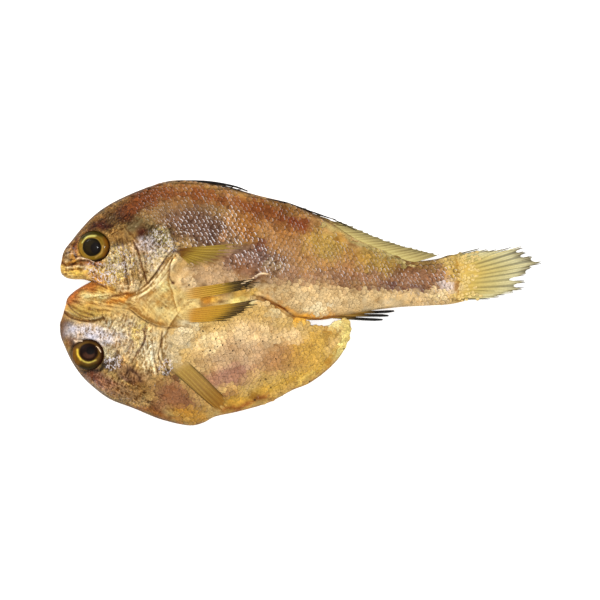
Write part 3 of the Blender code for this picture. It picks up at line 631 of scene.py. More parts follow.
LINES = (
    ("fold under the eye", [(-110, 18.2), (-106.6, 19.8), (-102.6, 19.9), (-99.6, 18.8), (-97.4, 16.6)],
     0.4, (62, 27, 13), 1),
    ("edge of the eye over it", [(-107.4, 22), (-103.4, 22.2), (-99.8, 21.2)], 0.36, (59, 27, 11), 0.99),
    ("line before the eye", [(-107.6, 21.4), (-109, 25.2), (-107.6, 30.6)], 0.4, (81, 40, 11), 0.94),
    ("line over the nostrils", [(-112.9, 23.6), (-110.8, 24), (-108.7, 26.5), (-107, 29)],
     0.4, (77, 41, 17), 0.94),
    ("snout crease", [(-114.5, 19.4), (-111.6, 17.5), (-107.8, 18.5), (-103.9, 17.5)],
     0.4, (126, 70, 31), 0.88),
    ("pale upper lip", [(-112.2, 16.8), (-107.8, 17.3), (-101, 17.2)], 0.7, (238, 204, 150), 0.7),
    ("lip crease", [(-112.6, 15.4), (-107.8, 15.8), (-103, 16), (-100.1, 14.4)], 0.36, (143, 88, 42), 0.83),
    ("crack of the jaw", [(-113.4, 1.2), (-110.6, 3.6), (-109.4, 7.2)], 0.44, (92, 44, 10), 0.94),
    ("second crack of the jaw", [(-108.4, 2.4), (-106, 5.4), (-102.4, 6.6)], 0.4, (118, 61, 17), 0.77),
    ("crack under the mouth", [(-100.3, 10.2), (-96.2, 8.6), (-92.9, 7)], 0.53, (126, 64, 17), 0.94),
    ("crack in the throat", [(-92.6, 2.4), (-87.6, 3.6), (-82, 4.9)], 0.36, (126, 61, 14), 0.88),
    ("pale crest of that fold", [(-107.6, 21), (-104.6, 21.2), (-101.4, 20.9), (-98.8, 19.6)],
     0.45, (250, 220, 176), 0.95),
    ("nostril", [(-110.8, 20.6), (-110, 20.4)], 0.62, (71, 38, 25), 0.99),
    ("second nostril", [(-107.8, 22.8), (-107.4, 21.6)], 0.62, (74, 41, 24), 0.99),
    ("cheek plate edge", [(-80, 29.4), (-77.9, 25.2), (-76.2, 19.4), (-75, 14.4), (-73.7, 9.5)],
     0.48, (111, 61, 25), 1),
    ("pale cheek plate", [(-81.4, 28), (-79.2, 24.2), (-77.6, 18.6), (-76.6, 12.6)],
     0.6, (232, 206, 172), 0.6),
    ("groove behind the eye", [(-85.2, 30.5), (-84.4, 20.4), (-82.8, 10.8), (-82.6, 6)],
     0.53, (97, 67, 35), 0.83),
    ("second groove", [(-83.4, 33), (-81.6, 21), (-80, 11)], 0.36, (126, 90, 53), 0.66),
    ("pale skin between them", [(-83.8, 27), (-82.8, 19), (-81.2, 10)], 0.5, (224, 204, 164), 0.5),
    ("gill opening", [(-60.4, 25.2), (-63.7, 22.2), (-67.1, 17.2), (-70.4, 12.6), (-72.9, 9.2)],
     0.44, (84, 46, 18), 1),
    ("gill opening below", [(-72.9, 9.2), (-78.7, 5.7), (-84.6, 4.6), (-91, 4.1)],
     0.44, (134, 82, 32), 0.55),
    ("pale gill edge", [(-61.2, 24.2), (-65.4, 18), (-69.4, 12.4), (-73.4, 7.9), (-78, 4.8)],
     0.5, (240, 212, 160), 0.8),
    ("gill skin line", [(-61.2, 22.6), (-65.8, 15.8), (-70.2, 10.2), (-75, 5.6), (-80, 3.2)],
     0.36, (134, 82, 34), 0.58),
    ("pale gill fold", [(-60.8, 20.4), (-65.4, 13.8), (-70.4, 8.2), (-75.6, 3.8), (-81, 1.8)],
     0.9, (250, 228, 168), 0.85),
    ("gill skin crease", [(-61.6, 17.4), (-66.4, 11.2), (-71.4, 5.8), (-77, 2)],
     0.36, (156, 108, 46), 0.55),
    ("shoulder edge", [(-61.3, 21.1), (-62.6, 17), (-62.6, 12), (-61.2, 9.5)], 0.4, (99, 61, 29), 0.94),
    ("shoulder spot", [(-61.4, 9.4), (-60.8, 9.2)], 0.7, (101, 43, 17), 0.99),
    ("throat edge",
     [(-82.3, -3.1), (-76, -7.9), (-72.2, -9.8), (-68.4, -11.3), (-64.6, -12), (-60.7, -12.2)],
     0.44, (91, 58, 27), 0.99),
    ("throat line", [(-105.8, 0.2), (-98.6, -0.7), (-92.4, -1.7), (-87.6, -2.4), (-82.8, -3.1)],
     0.36, (126, 79, 35), 0.45),
    ("shut mouth", [(-111.6, -0.7), (-109.7, -3.1), (-106.3, -5.5), (-102, -7), (-99.6, -7.4)],
     0.4, (87, 47, 17), 0.99),
    ("mouth crease", [(-103.9, -3.6), (-102, -5), (-99.1, -6.2), (-96.7, -7)], 0.36, (109, 67, 28), 0.83),
    ("lower lip line",
     [(-114, -4.1), (-110.6, -7), (-106.3, -8.4), (-100.6, -8.9), (-96.2, -7.9), (-94.3, -7)],
     0.44, (104, 64, 28), 0.88),
    ("mouth corner", [(-94.8, -6), (-93.8, -7.9), (-92.4, -9.8)], 0.44, (126, 76, 28), 0.83),
    ("pale lower lip", [(-112.6, -3.6), (-109.2, -6), (-104.9, -7.7), (-100.1, -7.9), (-95.3, -7)],
     0.5, (238, 208, 146), 0.7),
    ("lower cheek line", [(-75.4, -13), (-74.2, -17), (-76.2, -21.3), (-78.7, -25.4), (-80.4, -29)],
     0.53, (124, 76, 28), 1),
    ("maroon crease", [(-82.9, -33.9), (-81.2, -32.1), (-78, -34.6), (-76.2, -37.9)],
     0.7, (62, 32, 20), 0.88),
    ("pale gill ray", [(-72.4, -18.4), (-71.4, -26), (-69.6, -34)], 0.6, (242, 226, 180), 0.7),
    ("lower gill ridge", [(-70.9, -18.4), (-69.9, -26), (-68.1, -33.6)], 0.36, (139, 103, 59), 0.83),
    ("second gill ridge", [(-75, -22), (-74.2, -28.4), (-72.6, -34.6)], 0.36, (156, 120, 74), 0.66),
    ("lower gill opening", [(-66.2, -13.7), (-67.1, -20.4), (-67.9, -26.2), (-64.6, -32.1)],
     0.4, (114, 76, 38), 0.94),
    ("pale edge of the gill", [(-65, -14), (-65.8, -20.4), (-66.6, -26), (-63.6, -31)],
     0.5, (236, 214, 166), 0.6),
    ("crack at the lower gill",
     [(-72.1, -39.6), (-68.7, -37.1), (-65.4, -34.6), (-63.7, -32.1), (-62.1, -35.4)],
     0.57, (34, 18, 11), 1),
    ("glint under the crack", [(-72.1, -41.4), (-69.6, -39.4), (-66.8, -37.4)], 0.5, (244, 236, 228), 0.8),
    ("lid of the lower eye", [(-108, -18.5), (-104, -18.8), (-100.2, -19.5), (-97, -21.4), (-95.6, -23.6)],
     0.5, (240, 208, 168), 0.9),
    ("dark over the lid", [(-108.6, -17.4), (-103.4, -17.7), (-98.4, -18.7)], 0.36, (87, 50, 28), 0.77),
    ("belly crease", [(-19.4, 3.1), (-14.9, 0.2), (-8.4, -2.6), (-5, -5.8), (-1.2, -7), (2.6, -7.4)],
     0.4, (91, 38, 8), 1),
    ("crease by the gap", [(2.6, -7.4), (8.4, -7.9), (11.8, -7), (19.4, -6.5)], 0.44, (126, 53, 11), 0.94),
    ("slack skin", [(-27.6, 9.4), (-24.2, 10.8), (-21.4, 12.7), (-18.5, 13.9), (-15.6, 13.7)],
     0.4, (252, 234, 198), 0.85),
    # painted shade at the upper breast fin's root, by the gill opening
    ("breast fin root", [(-61, 24.6), (-57.8, 24.4), (-55.8, 25.4)], 0.97, (71, 32, 15), 0.94),
    ("back ridge", [(25.7, 31), (39.1, 25.7), (47.8, 20.4), (54, 17.5)], 0.8, (226, 204, 130), 0.7),
)
# Dark lines along both backs, the stem, the flap and the chin: painted shade where the skin rounds down at
# its edges.
EDGE_SHADE_LINES = (
    ("edge of the back", UPPER_BACK[1:15], 0.7, (70, 42, 20), 0.8),
    ("edge of the stem", [(61.6, 19.9), (67, 21.2), (72, 22.8), (79, 24.5), (86, 25.5)],
     0.55, (30, 20, 8), 0.9),
    ("lower edge of the stem", [(70, 0.7), (79, 1.3), (90, 3)], 0.4, (50, 34, 14), 0.7),
    ("edge of the lower head", LOWER_BACK[1:11], 0.6, (70, 44, 26), 0.75),
    ("edge of the flap", LOWER_BACK[11:], 0.35, (150, 92, 30), 0.6),
    ("chin edge", CHIN[:-1], 0.5, (150, 90, 34), 0.6),
)
LINES += EDGE_SHADE_LINES
# Where the skin glitters, with painted glints and a clear coat: middle, half-lengths, turn and strength.
SILVERY = (
    ((-95, 14), (9, 5), -20, 0.9),
    ((-86.5, 19.5), (8, 8), 0, 0.7),
    ((-65.6, 29.4), (7.4, 4.3), -35, 1.0),
    ((-70, 20.5), (5, 7), 0, 0.5),
    ((-100, -14.4), (10, 3.8), -8, 1.0),
    ((-89.5, -28.5), (4.4, 4.4), 0, 0.9),
    ((-64, -31), (4, 4), 0, 0.9),
    ((-98, -40), (10, 2.4), -42, 0.35),
    ((-84, -46.5), (12, 2), -22, 0.3),
    ((-88, 43), (12, 5), 35, 0.16),
    ((-82, -16), (10, 10), 0, 0.35),
    ((-109.5, 24.5), (3, 3.4), 20, 0.4),
    ((-50, 36), (20, 10), -8, 0.25),
)
# Where the skin has dried into small sharp crumples, which carry painted light and shade, in the same way.
CRINKLED = (
    ((-84, 19), (14, 13), 0, 0.9),
    ((-66, 29), (11, 9), -30, 1.0),
    ((-92, 40), (24, 9), 38, 1.0),
    ((-76, 47), (18, 6), 20, 0.8),
    ((-109, 22), (7, 9), 0, 0.6),
    ((-104, 7), (12, 7), 20, 0.45),
    ((-84, -20), (17, 14), 0, 0.7),
    ((-100, -12), (14, 8), 0, 0.7),
    ((-90, -40), (28, 9), -28, 0.8),
    ((-66, -32), (8, 8), 0, 0.8),
    ((-66, 2), (18, 9), -20, 0.04),
)
PALE_SUM = 480  # a line whose colour adds up to more is a pale crest, and otherwise a dark groove
LINE_RISE = 0.2
CREST_PAINTED_LIGHT = (0.34, 0.34, 0.38)  # painted light on the crests, and warm painted shade in the hollows
HOLLOW_PAINTED_SHADE = (0.42, 0.56, 0.72)
LIT = 1.22  # how much brighter than white paper's own colour the light makes a surface


def linear(colour):
    """A 0 to 255 colour, as it looks in the light, as the surface's own linear colour."""
    share = np.array(colour, float) / 255
    return np.where(share <= 0.04045, share / 12.92, ((share + 0.055) / 1.055) ** 2.4) / LIT


def towards(tone, colour, share):
    """Mixes a colour into each point's tone."""
    tone += (linear(colour) - tone) * share[:, None]


def skin_layers(xy, lines=LINES):
    """The painted colours in their order, each with its share at every point."""
    drift = np.column_stack([wander(xy, 5.0, 21), wander(xy, 5.0, 22)])
    fine = np.column_stack([wander(xy, 1.7, 23), wander(xy, 1.7, 24)])
    broad_xy = xy + 1.5 * drift + 0.6 * fine
    for _, centre, radii, turn, colour, strength in AREAS:
        yield colour, strength * patch_share(broad_xy, centre, radii, turn, 1.1)
    for _, line, width, colour, strength in STREAKS:
        yield colour, strength * stroke_share(broad_xy, line, width)
    near_xy = xy + 0.25 * drift + 0.15 * fine
    for _, line, width, colour, strength in lines:
        yield colour, strength * (0.85 + 0.15 * wander(xy, 2.0, 25)) * stroke_share(near_xy, line, width)


def skin_tones(xy, is_flap, mottled=1.0, lines=LINES):
    """The skin's colour at each point: the painted layers, more or less mottled."""
    tone = np.where(is_flap[:, None] > 0.5, linear(FLAP_GROUND), linear(UPPER_GROUND))
    for colour, share in skin_layers(xy, lines):
        towards(tone, colour, share)
    warm = wander(xy, 3.4, 26) + 0.6 * wander(xy, 1.5, 27)
    tone *= 1 + mottled * warm[:, None] * np.array([0.10, 0.02, -0.14])
    return tone * (1 + mottled * (0.12 * wander(xy, 2.4, 28) + 0.1 * wander(xy, 1.1, 29)))[:, None]


def shaded(tones, crest):
    """The tones with painted light on the crests and painted shade in the hollows."""
    crest = crest[:, None]
    return tones * (1 + np.maximum(crest, 0) * CREST_PAINTED_LIGHT + np.minimum(crest, 0) * HOLLOW_PAINTED_SHADE)


def share_of(areas, xy, elsewhere=0.0):
    """The strongest of the areas at each point. Areas hold a middle, half-lengths, turn and strength."""
    share = np.full(len(xy), elsewhere)
    for centre, radii, turn, strength in areas:
        share = np.maximum(share, strength * patch_share(xy, centre, radii, turn, 0.8))
    return share


def store(mesh, **values):
    """Stores for each point a value, a vector or, under the name of tone, a colour."""
    for name, value in values.items():
        kind, field = ("FLOAT", "value") if value.ndim == 1 else ("FLOAT_VECTOR", "vector")
        if name == "tone":
            kind, field = "FLOAT_COLOR", "color"
            value = np.column_stack([value, np.ones(len(value))])
        kept = mesh.attributes.new(name, kind, "POINT")
        kept.data.foreach_set(field, np.asarray(value, np.float32).ravel())


def places(mesh):
    """The mesh's points in millimetres."""
    co = np.zeros(len(mesh.vertices) * 3)
    mesh.vertices.foreach_get("co", co)
    return co.reshape(-1, 3) / MM


def linked(name, mesh):
    """An object of the mesh, in the scene."""
    made = bpy.data.objects.new(name, mesh)
    bpy.context.scene.collection.objects.link(made)
    return made


class Socket:
    """One output of a node. Arithmetic on it adds Math nodes to its tree."""

    def __init__(self, tree, socket):
        self.tree = tree
        self.socket = socket

    def maths(self, operation, *values):
        return self.tree.node("ShaderNodeMath", {"operation": operation}, dict(enumerate(values)))["Value"]

    def __add__(self, other):
        return self.maths("ADD", self, other)

    def __sub__(self, other):
        return self.maths("SUBTRACT", self, other)

    def __rsub__(self, other):
        return self.maths("SUBTRACT", other, self)

    def __mul__(self, other):
        return self.maths("MULTIPLY", self, other)

    def __truediv__(self, other):
        return self.maths("DIVIDE", self, other)

    def __abs__(self):
        return self.maths("ABSOLUTE", self)

    def __pow__(self, other):
        return self.maths("POWER", self, other)

    __radd__ = __add__
    __rmul__ = __mul__

    def between(self, low, high):
        """0 below low, 1 above high, smooth between."""
        limits = {"Value": self, "From Min": low, "From Max": high}
        return self.tree.node("ShaderNodeMapRange", {"interpolation_type": "SMOOTHSTEP"}, limits)["Result"]


class Node:
    """A node, whose outputs are read by name."""

    def __init__(self, tree, node):
        self.tree = tree
        self.node = node

    def __getitem__(self, name):
        by_identifier = [s for s in self.node.outputs if s.identifier == name]
        return Socket(self.tree, by_identifier[0] if by_identifier else self.node.outputs[name])


class Tree:
    """A node tree that is written as expressions."""

    def __init__(self, tree):
        self.tree = tree

    def node(self, kind, settings=None, inputs=None):
        """Adds a node: its settings first, then a value or a link for each named or numbered socket."""
        made = self.tree.nodes.new(kind)
        for key, value in (settings or {}).items():
            setattr(made, key, value)
        for key, value in (inputs or {}).items():
            self.feed(made, key, value)
        return Node(self, made)

    def feed(self, made, key, value):
        by_identifier = [s for s in made.inputs if s.identifier == key]
        socket = by_identifier[0] if by_identifier else made.inputs[key]
        if isinstance(value, Socket):
            self.tree.links.new(value.socket, socket)
        elif socket.type == "RGBA" and len(value) == 3:
            socket.default_value = (*value, 1)
        else:
            socket.default_value = value

    def stored(self, name, output="Fac"):
        """What the surface stores under the name."""
        return self.node("ShaderNodeAttribute", {"attribute_name": name})[output]

    def shaded(self, colour, share):
        """The colour, darkened or lightened by the share."""
        grey = self.node("ShaderNodeCombineColor", None, {0: share, 1: share, 2: share})["Color"]
        return self.mix(colour, grey, 1.0, "MULTIPLY")

    def bump(self, strength, depth, height):
        """The surface's direction, tilted by the relief. The depth is in millimetres."""
        inputs = {"Strength": strength, "Distance": depth * MM, "Height": height}
        return self.node("ShaderNodeBump", None, inputs)["Normal"]

    def named(self, name, kind="FLOAT"):
        """What each point stores under the name, inside a geometry group."""
        given = self.node("GeometryNodeInputNamedAttribute", {"data_type": kind}, {"Name": name})
        return given["Attribute"]

    def mix(self, first, second, share, blend="MIX"):
        """Mixes two colours."""
        settings = {"data_type": "RGBA", "blend_type": blend}
        inputs = {"Factor_Float": share, "A_Color": first, "B_Color": second}
        return self.node("ShaderNodeMix", settings, inputs)["Result_Color"]

    def noise(self, size, detail=3.0, roughness=0.55, place=None):
        """Soft noise from 0 to 1 with hills about one size, in millimetres, apart."""
        place = place or self.node("ShaderNodeTexCoord")["Object"]
        inputs = {"Vector": place, "Scale": 1 / (size * MM), "Detail": detail, "Roughness": roughness}
        return self.node("ShaderNodeTexNoise", None, inputs)["Fac"]


def new_material(name):
    """A material and its tree, with the Principled shader ready."""
    material = bpy.data.materials.new(name)
    material.use_nodes = True
    return material, Tree(material.node_tree), material.node_tree.nodes["Principled BSDF"]


def finish_shader(tree, shader, **inputs):
    """Feeds the Principled shader."""
    for name, value in inputs.items():
        tree.feed(shader, name.replace("_", " "), value)


SALT = (255, 226, 184)
PORES = (92, 58, 34)
PAINTED_GLITTER = (250, 240, 244)
BETWEEN_GLITTER = (66, 44, 34)
SWIRL_SIZE = 1.3  # the crumpled pattern is swirled at this size, and by as much as the push
SWIRL_PUSH = 2.2
FACET_SIZE = 1.5  # of the crumpled foil
UPRIGHT = (1.35, 0.8, 1.0)  # the facets are taller than they are wide


def skin_material():
    """Dried, salted skin: mottled, cracked and crumpled like foil where it is crinkled, and glittering. The
    foil's facets and cracks carry painted light and shade, and the glitter is painted glints.
    """
    material, tree, shader = new_material("salted_skin")
    tone = tree.stored("tone", "Color")
    silver = tree.stored("silver")
    crinkle = tree.stored("crinkle")
    place = tree.node("ShaderNodeTexCoord")["Object"]
    inputs = {"Vector": place, "Scale": 1 / (SWIRL_SIZE * MM), "Detail": 2.0}
    swirl = tree.node("ShaderNodeTexNoise", None, inputs)["Color"]
    inputs = {0: swirl, 1: (SWIRL_PUSH * MM,) * 3, 2: place}
    pushed = tree.node("ShaderNodeVectorMath", {"operation": "MULTIPLY_ADD"}, inputs)["Vector"]
    inputs = {0: pushed, 1: UPRIGHT}
    upright = tree.node("ShaderNodeVectorMath", {"operation": "MULTIPLY"}, inputs)["Vector"]
    inputs = {"Vector": upright, "Scale": 1 / (FACET_SIZE * MM)}
    cells = tree.node("ShaderNodeTexVoronoi", {"feature": "F1"}, inputs)["Color"]
    facet = tree.node("ShaderNodeSeparateColor", None, {"Color": cells})["Red"]
    edge = tree.node("ShaderNodeTexVoronoi", {"feature": "DISTANCE_TO_EDGE"}, inputs)["Distance"]
    blotch = tree.noise(2.6, 3.0)
    grain = tree.noise(0.9, 4.0, 0.65)
    pores = tree.noise(0.7, 2.0, 0.5)
    fleck = tree.noise(1.1, 2.0, 0.6)
    # Painted shade along the cracks and thin creases, and the foil's facets lit and shaded at random:
    # painted light and shade.
    crack = (1 - edge.between(0.0, 0.1)) * crinkle
    facets = (facet - 0.5) * crinkle * 0.6 + 1
    crease_shade = 1 - abs(tree.noise(2.0, 2.0, 0.5, upright) - 0.5).between(0.0, 0.035)
    foil = 1 - abs(tree.noise(2.6, 1.5, 0.5, upright) - 0.5).between(0.006, 0.05)
    glitter = 1 - abs(tree.noise(1.5, 1.0, 0.5) - 0.54).between(0.004, 0.03)
    speckle = 1 + (tree.noise(0.8, 1.0, 0.4) - 0.5) * crinkle * 2.2
    shade = (0.2 + blotch * 0.5 + grain * 1.1) * facets * speckle * (1 - crack * 0.45)
    colour = tree.shaded(tone, shade * (1 - crease_shade * crinkle * 0.5))
    colour = tree.mix(colour, linear(SALT), grain.between(0.6, 0.72) * 0.3)
    colour = tree.mix(colour, linear(PORES), (1 - pores.between(0.3, 0.4)) * 0.5)
    # Painted glints: thin bright lines on the glittering skin.
    bright = foil * fleck.between(0.36, 0.46) * 0.75 + glitter * fleck.between(0.48, 0.58)
    dark = (1 - fleck.between(0.35, 0.41)) * silver
    colour = tree.mix(colour, linear(PAINTED_GLITTER), bright * silver.between(0.1, 0.9) * 0.85)
    colour = tree.mix(colour, linear(BETWEEN_GLITTER), dark * 0.85)
    relief = grain * 0.5 + fleck * silver * 0.8 + blotch * 0.6 + edge.between(0.0, 0.3) * crinkle * 1.2
    finish_shader(
        tree, shader, Base_Color=colour, Roughness=0.56 - silver * 0.2 - grain * 0.12,
        Normal=tree.bump(0.6, 0.4, relief), Coat_Weight=silver * 0.14, Coat_Roughness=0.3,
        Specular_IOR_Level=0.08,
    )
    return material


def flesh_material():
    """The cut face: amber dried flesh with muscle lines."""
    material, tree, shader = new_material("dried_flesh")
    tone = tree.stored("tone", "Color")
    place = tree.node("ShaderNodeTexCoord")["Object"]
    inputs = {"Vector": place, "Scale": 55.0, "Distortion": 5.0, "Detail": 2.0}
    lines = tree.node("ShaderNodeTexWave", {"bands_direction": "X"}, inputs)["Fac"]
    grain = tree.noise(1.1, 4.0, 0.6)
    finish_shader(
        tree, shader, Base_Color=tree.shaded(tone, 0.7 + lines * 0.22 + grain * 0.3),
        Roughness=0.5 - grain * 0.15, Normal=tree.bump(0.5, 0.4, lines + grain * 0.7),
        Coat_Weight=0.15, Coat_Roughness=0.35,
    )
    return material


UNROLLED = 248  # millimetres across the unrolled skin and cut face
CUT_LIMIT = 0.6  # points with a larger cut value belong to the cut face
CUT_FLESH = (206, 156, 92)
CAVITY = (150, 112, 84)
CAVITY_REACH = 16  # from the belly seam
BACKBONE = (160, 96, 52)
BACKBONE_LINE = [(-66, 44), (-30, 42), (0, 34), (30, 22), (60, 12), (76, 11)]


def flesh_tones(xy):
    """The cut face's colour: amber flesh, the grey belly lining and a pale line along the backbone."""
    tone = np.tile(linear(CUT_FLESH), (len(xy), 1))
    lining, _ = nearest(xy, spaced(smooth_line(THROAT_SEAM + BELLY_SEAM[1:]), 40))
    towards(tone, CAVITY, 0.85 * ease((CAVITY_REACH + 3 * wander(xy, 6, 31) - lining) / 5))
    bone, _ = nearest(xy, spaced(smooth_line(BACKBONE_LINE), 40))
    towards(tone, BACKBONE, 0.7 * np.exp(-((bone / 4.5) ** 2)))
    return tone * (1 + 0.12 * wander(xy, 3.0, 32))[:, None]


(upper_skin, upper_cut, upper_stands), (lower_skin, lower_cut, lower_stands) = half_grids()
shape = bmesh.new()
shape_layers = (
    shape.verts.layers.float.new("cut"), shape.verts.layers.float.new("flap"),
    shape.verts.layers.float_vector.new("spread"), shape.verts.layers.float.new("crest"),
)
joined_columns = (UPPER_COLUMNS[0], sum(UPPER_COLUMNS[:3]))
closed_half(shape, shape_layers, upper_skin, upper_cut, upper_stands, joined_columns, 0.0)
closed_half(shape, shape_layers, lower_skin, lower_cut, lower_stands, joined_columns, 1.0)
bmesh.ops.remove_doubles(shape, verts=shape.verts, dist=0.01 * MM)
bmesh.ops.triangulate(shape, faces=[f for f in shape.faces if len(f.verts) > 4])
bmesh.ops.recalc_face_normals(shape, faces=shape.faces)
skin_tree = BVHTree.FromBMesh(shape)

# The skin is unrolled as seen from above, its edges laid outwards, and the cut face lies below it.
flat = shape.loops.layers.uv.new("OFBake")
for face in shape.faces:
    for loop in face.loops:
        x, y = loop.vert.co.x / MM, loop.vert.co.y / MM
        if face.material_index == EDGE:
            x += loop.vert[shape_layers[2]][0]
            y += loop.vert[shape_layers[2]][1]
        above = 0 if face.material_index == CUT_FACE else 0.5
        loop[flat].uv = (x / UNROLLED + 0.5, y / UNROLLED + 0.25 + above)
body_mesh = bpy.data.meshes.new("body")
shape.to_mesh(body_mesh)
shape.free()
body_mesh.shade_smooth()
spots = places(body_mesh)[:, :2]
cut_share, flap_share, crest_share = (np.zeros(len(spots)) for _ in range(3))
for layer, share in (("cut", cut_share), ("flap", flap_share), ("crest", crest_share)):
    body_mesh.attributes[layer].data.foreach_get("value", share)
# The skin's tones get painted light on its crests and painted shade in its hollows.
body_tones = shaded(skin_tones(spots, flap_share), crest_share)
body_tones[cut_share > CUT_LIMIT] = flesh_tones(spots[cut_share > CUT_LIMIT])
store(body_mesh, tone=body_tones, silver=share_of(SILVERY, spots) * (cut_share < CUT_LIMIT))
store(body_mesh, crinkle=share_of(CRINKLED, spots, 0.05) * (cut_share < CUT_LIMIT))
salted_skin = skin_material()
dried_flesh = flesh_material()
for material in (salted_skin, dried_flesh, salted_skin):
    body_mesh.materials.append(material)
body = linked("body", body_mesh)
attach(body, "root")
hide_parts("croaker")

# ------------------------------------------------------------------------------------ fins
# Tail, dorsal, anal, breast and belly fins: horny rays, thin webs of skin between them, dried stiff. Their
# roots grow out of the body. The breast and belly fins lie on the skin and are stuck to it.
FIN_ROWS = 18
LINES_PER_GAP = 5
FIN_SEED = 11
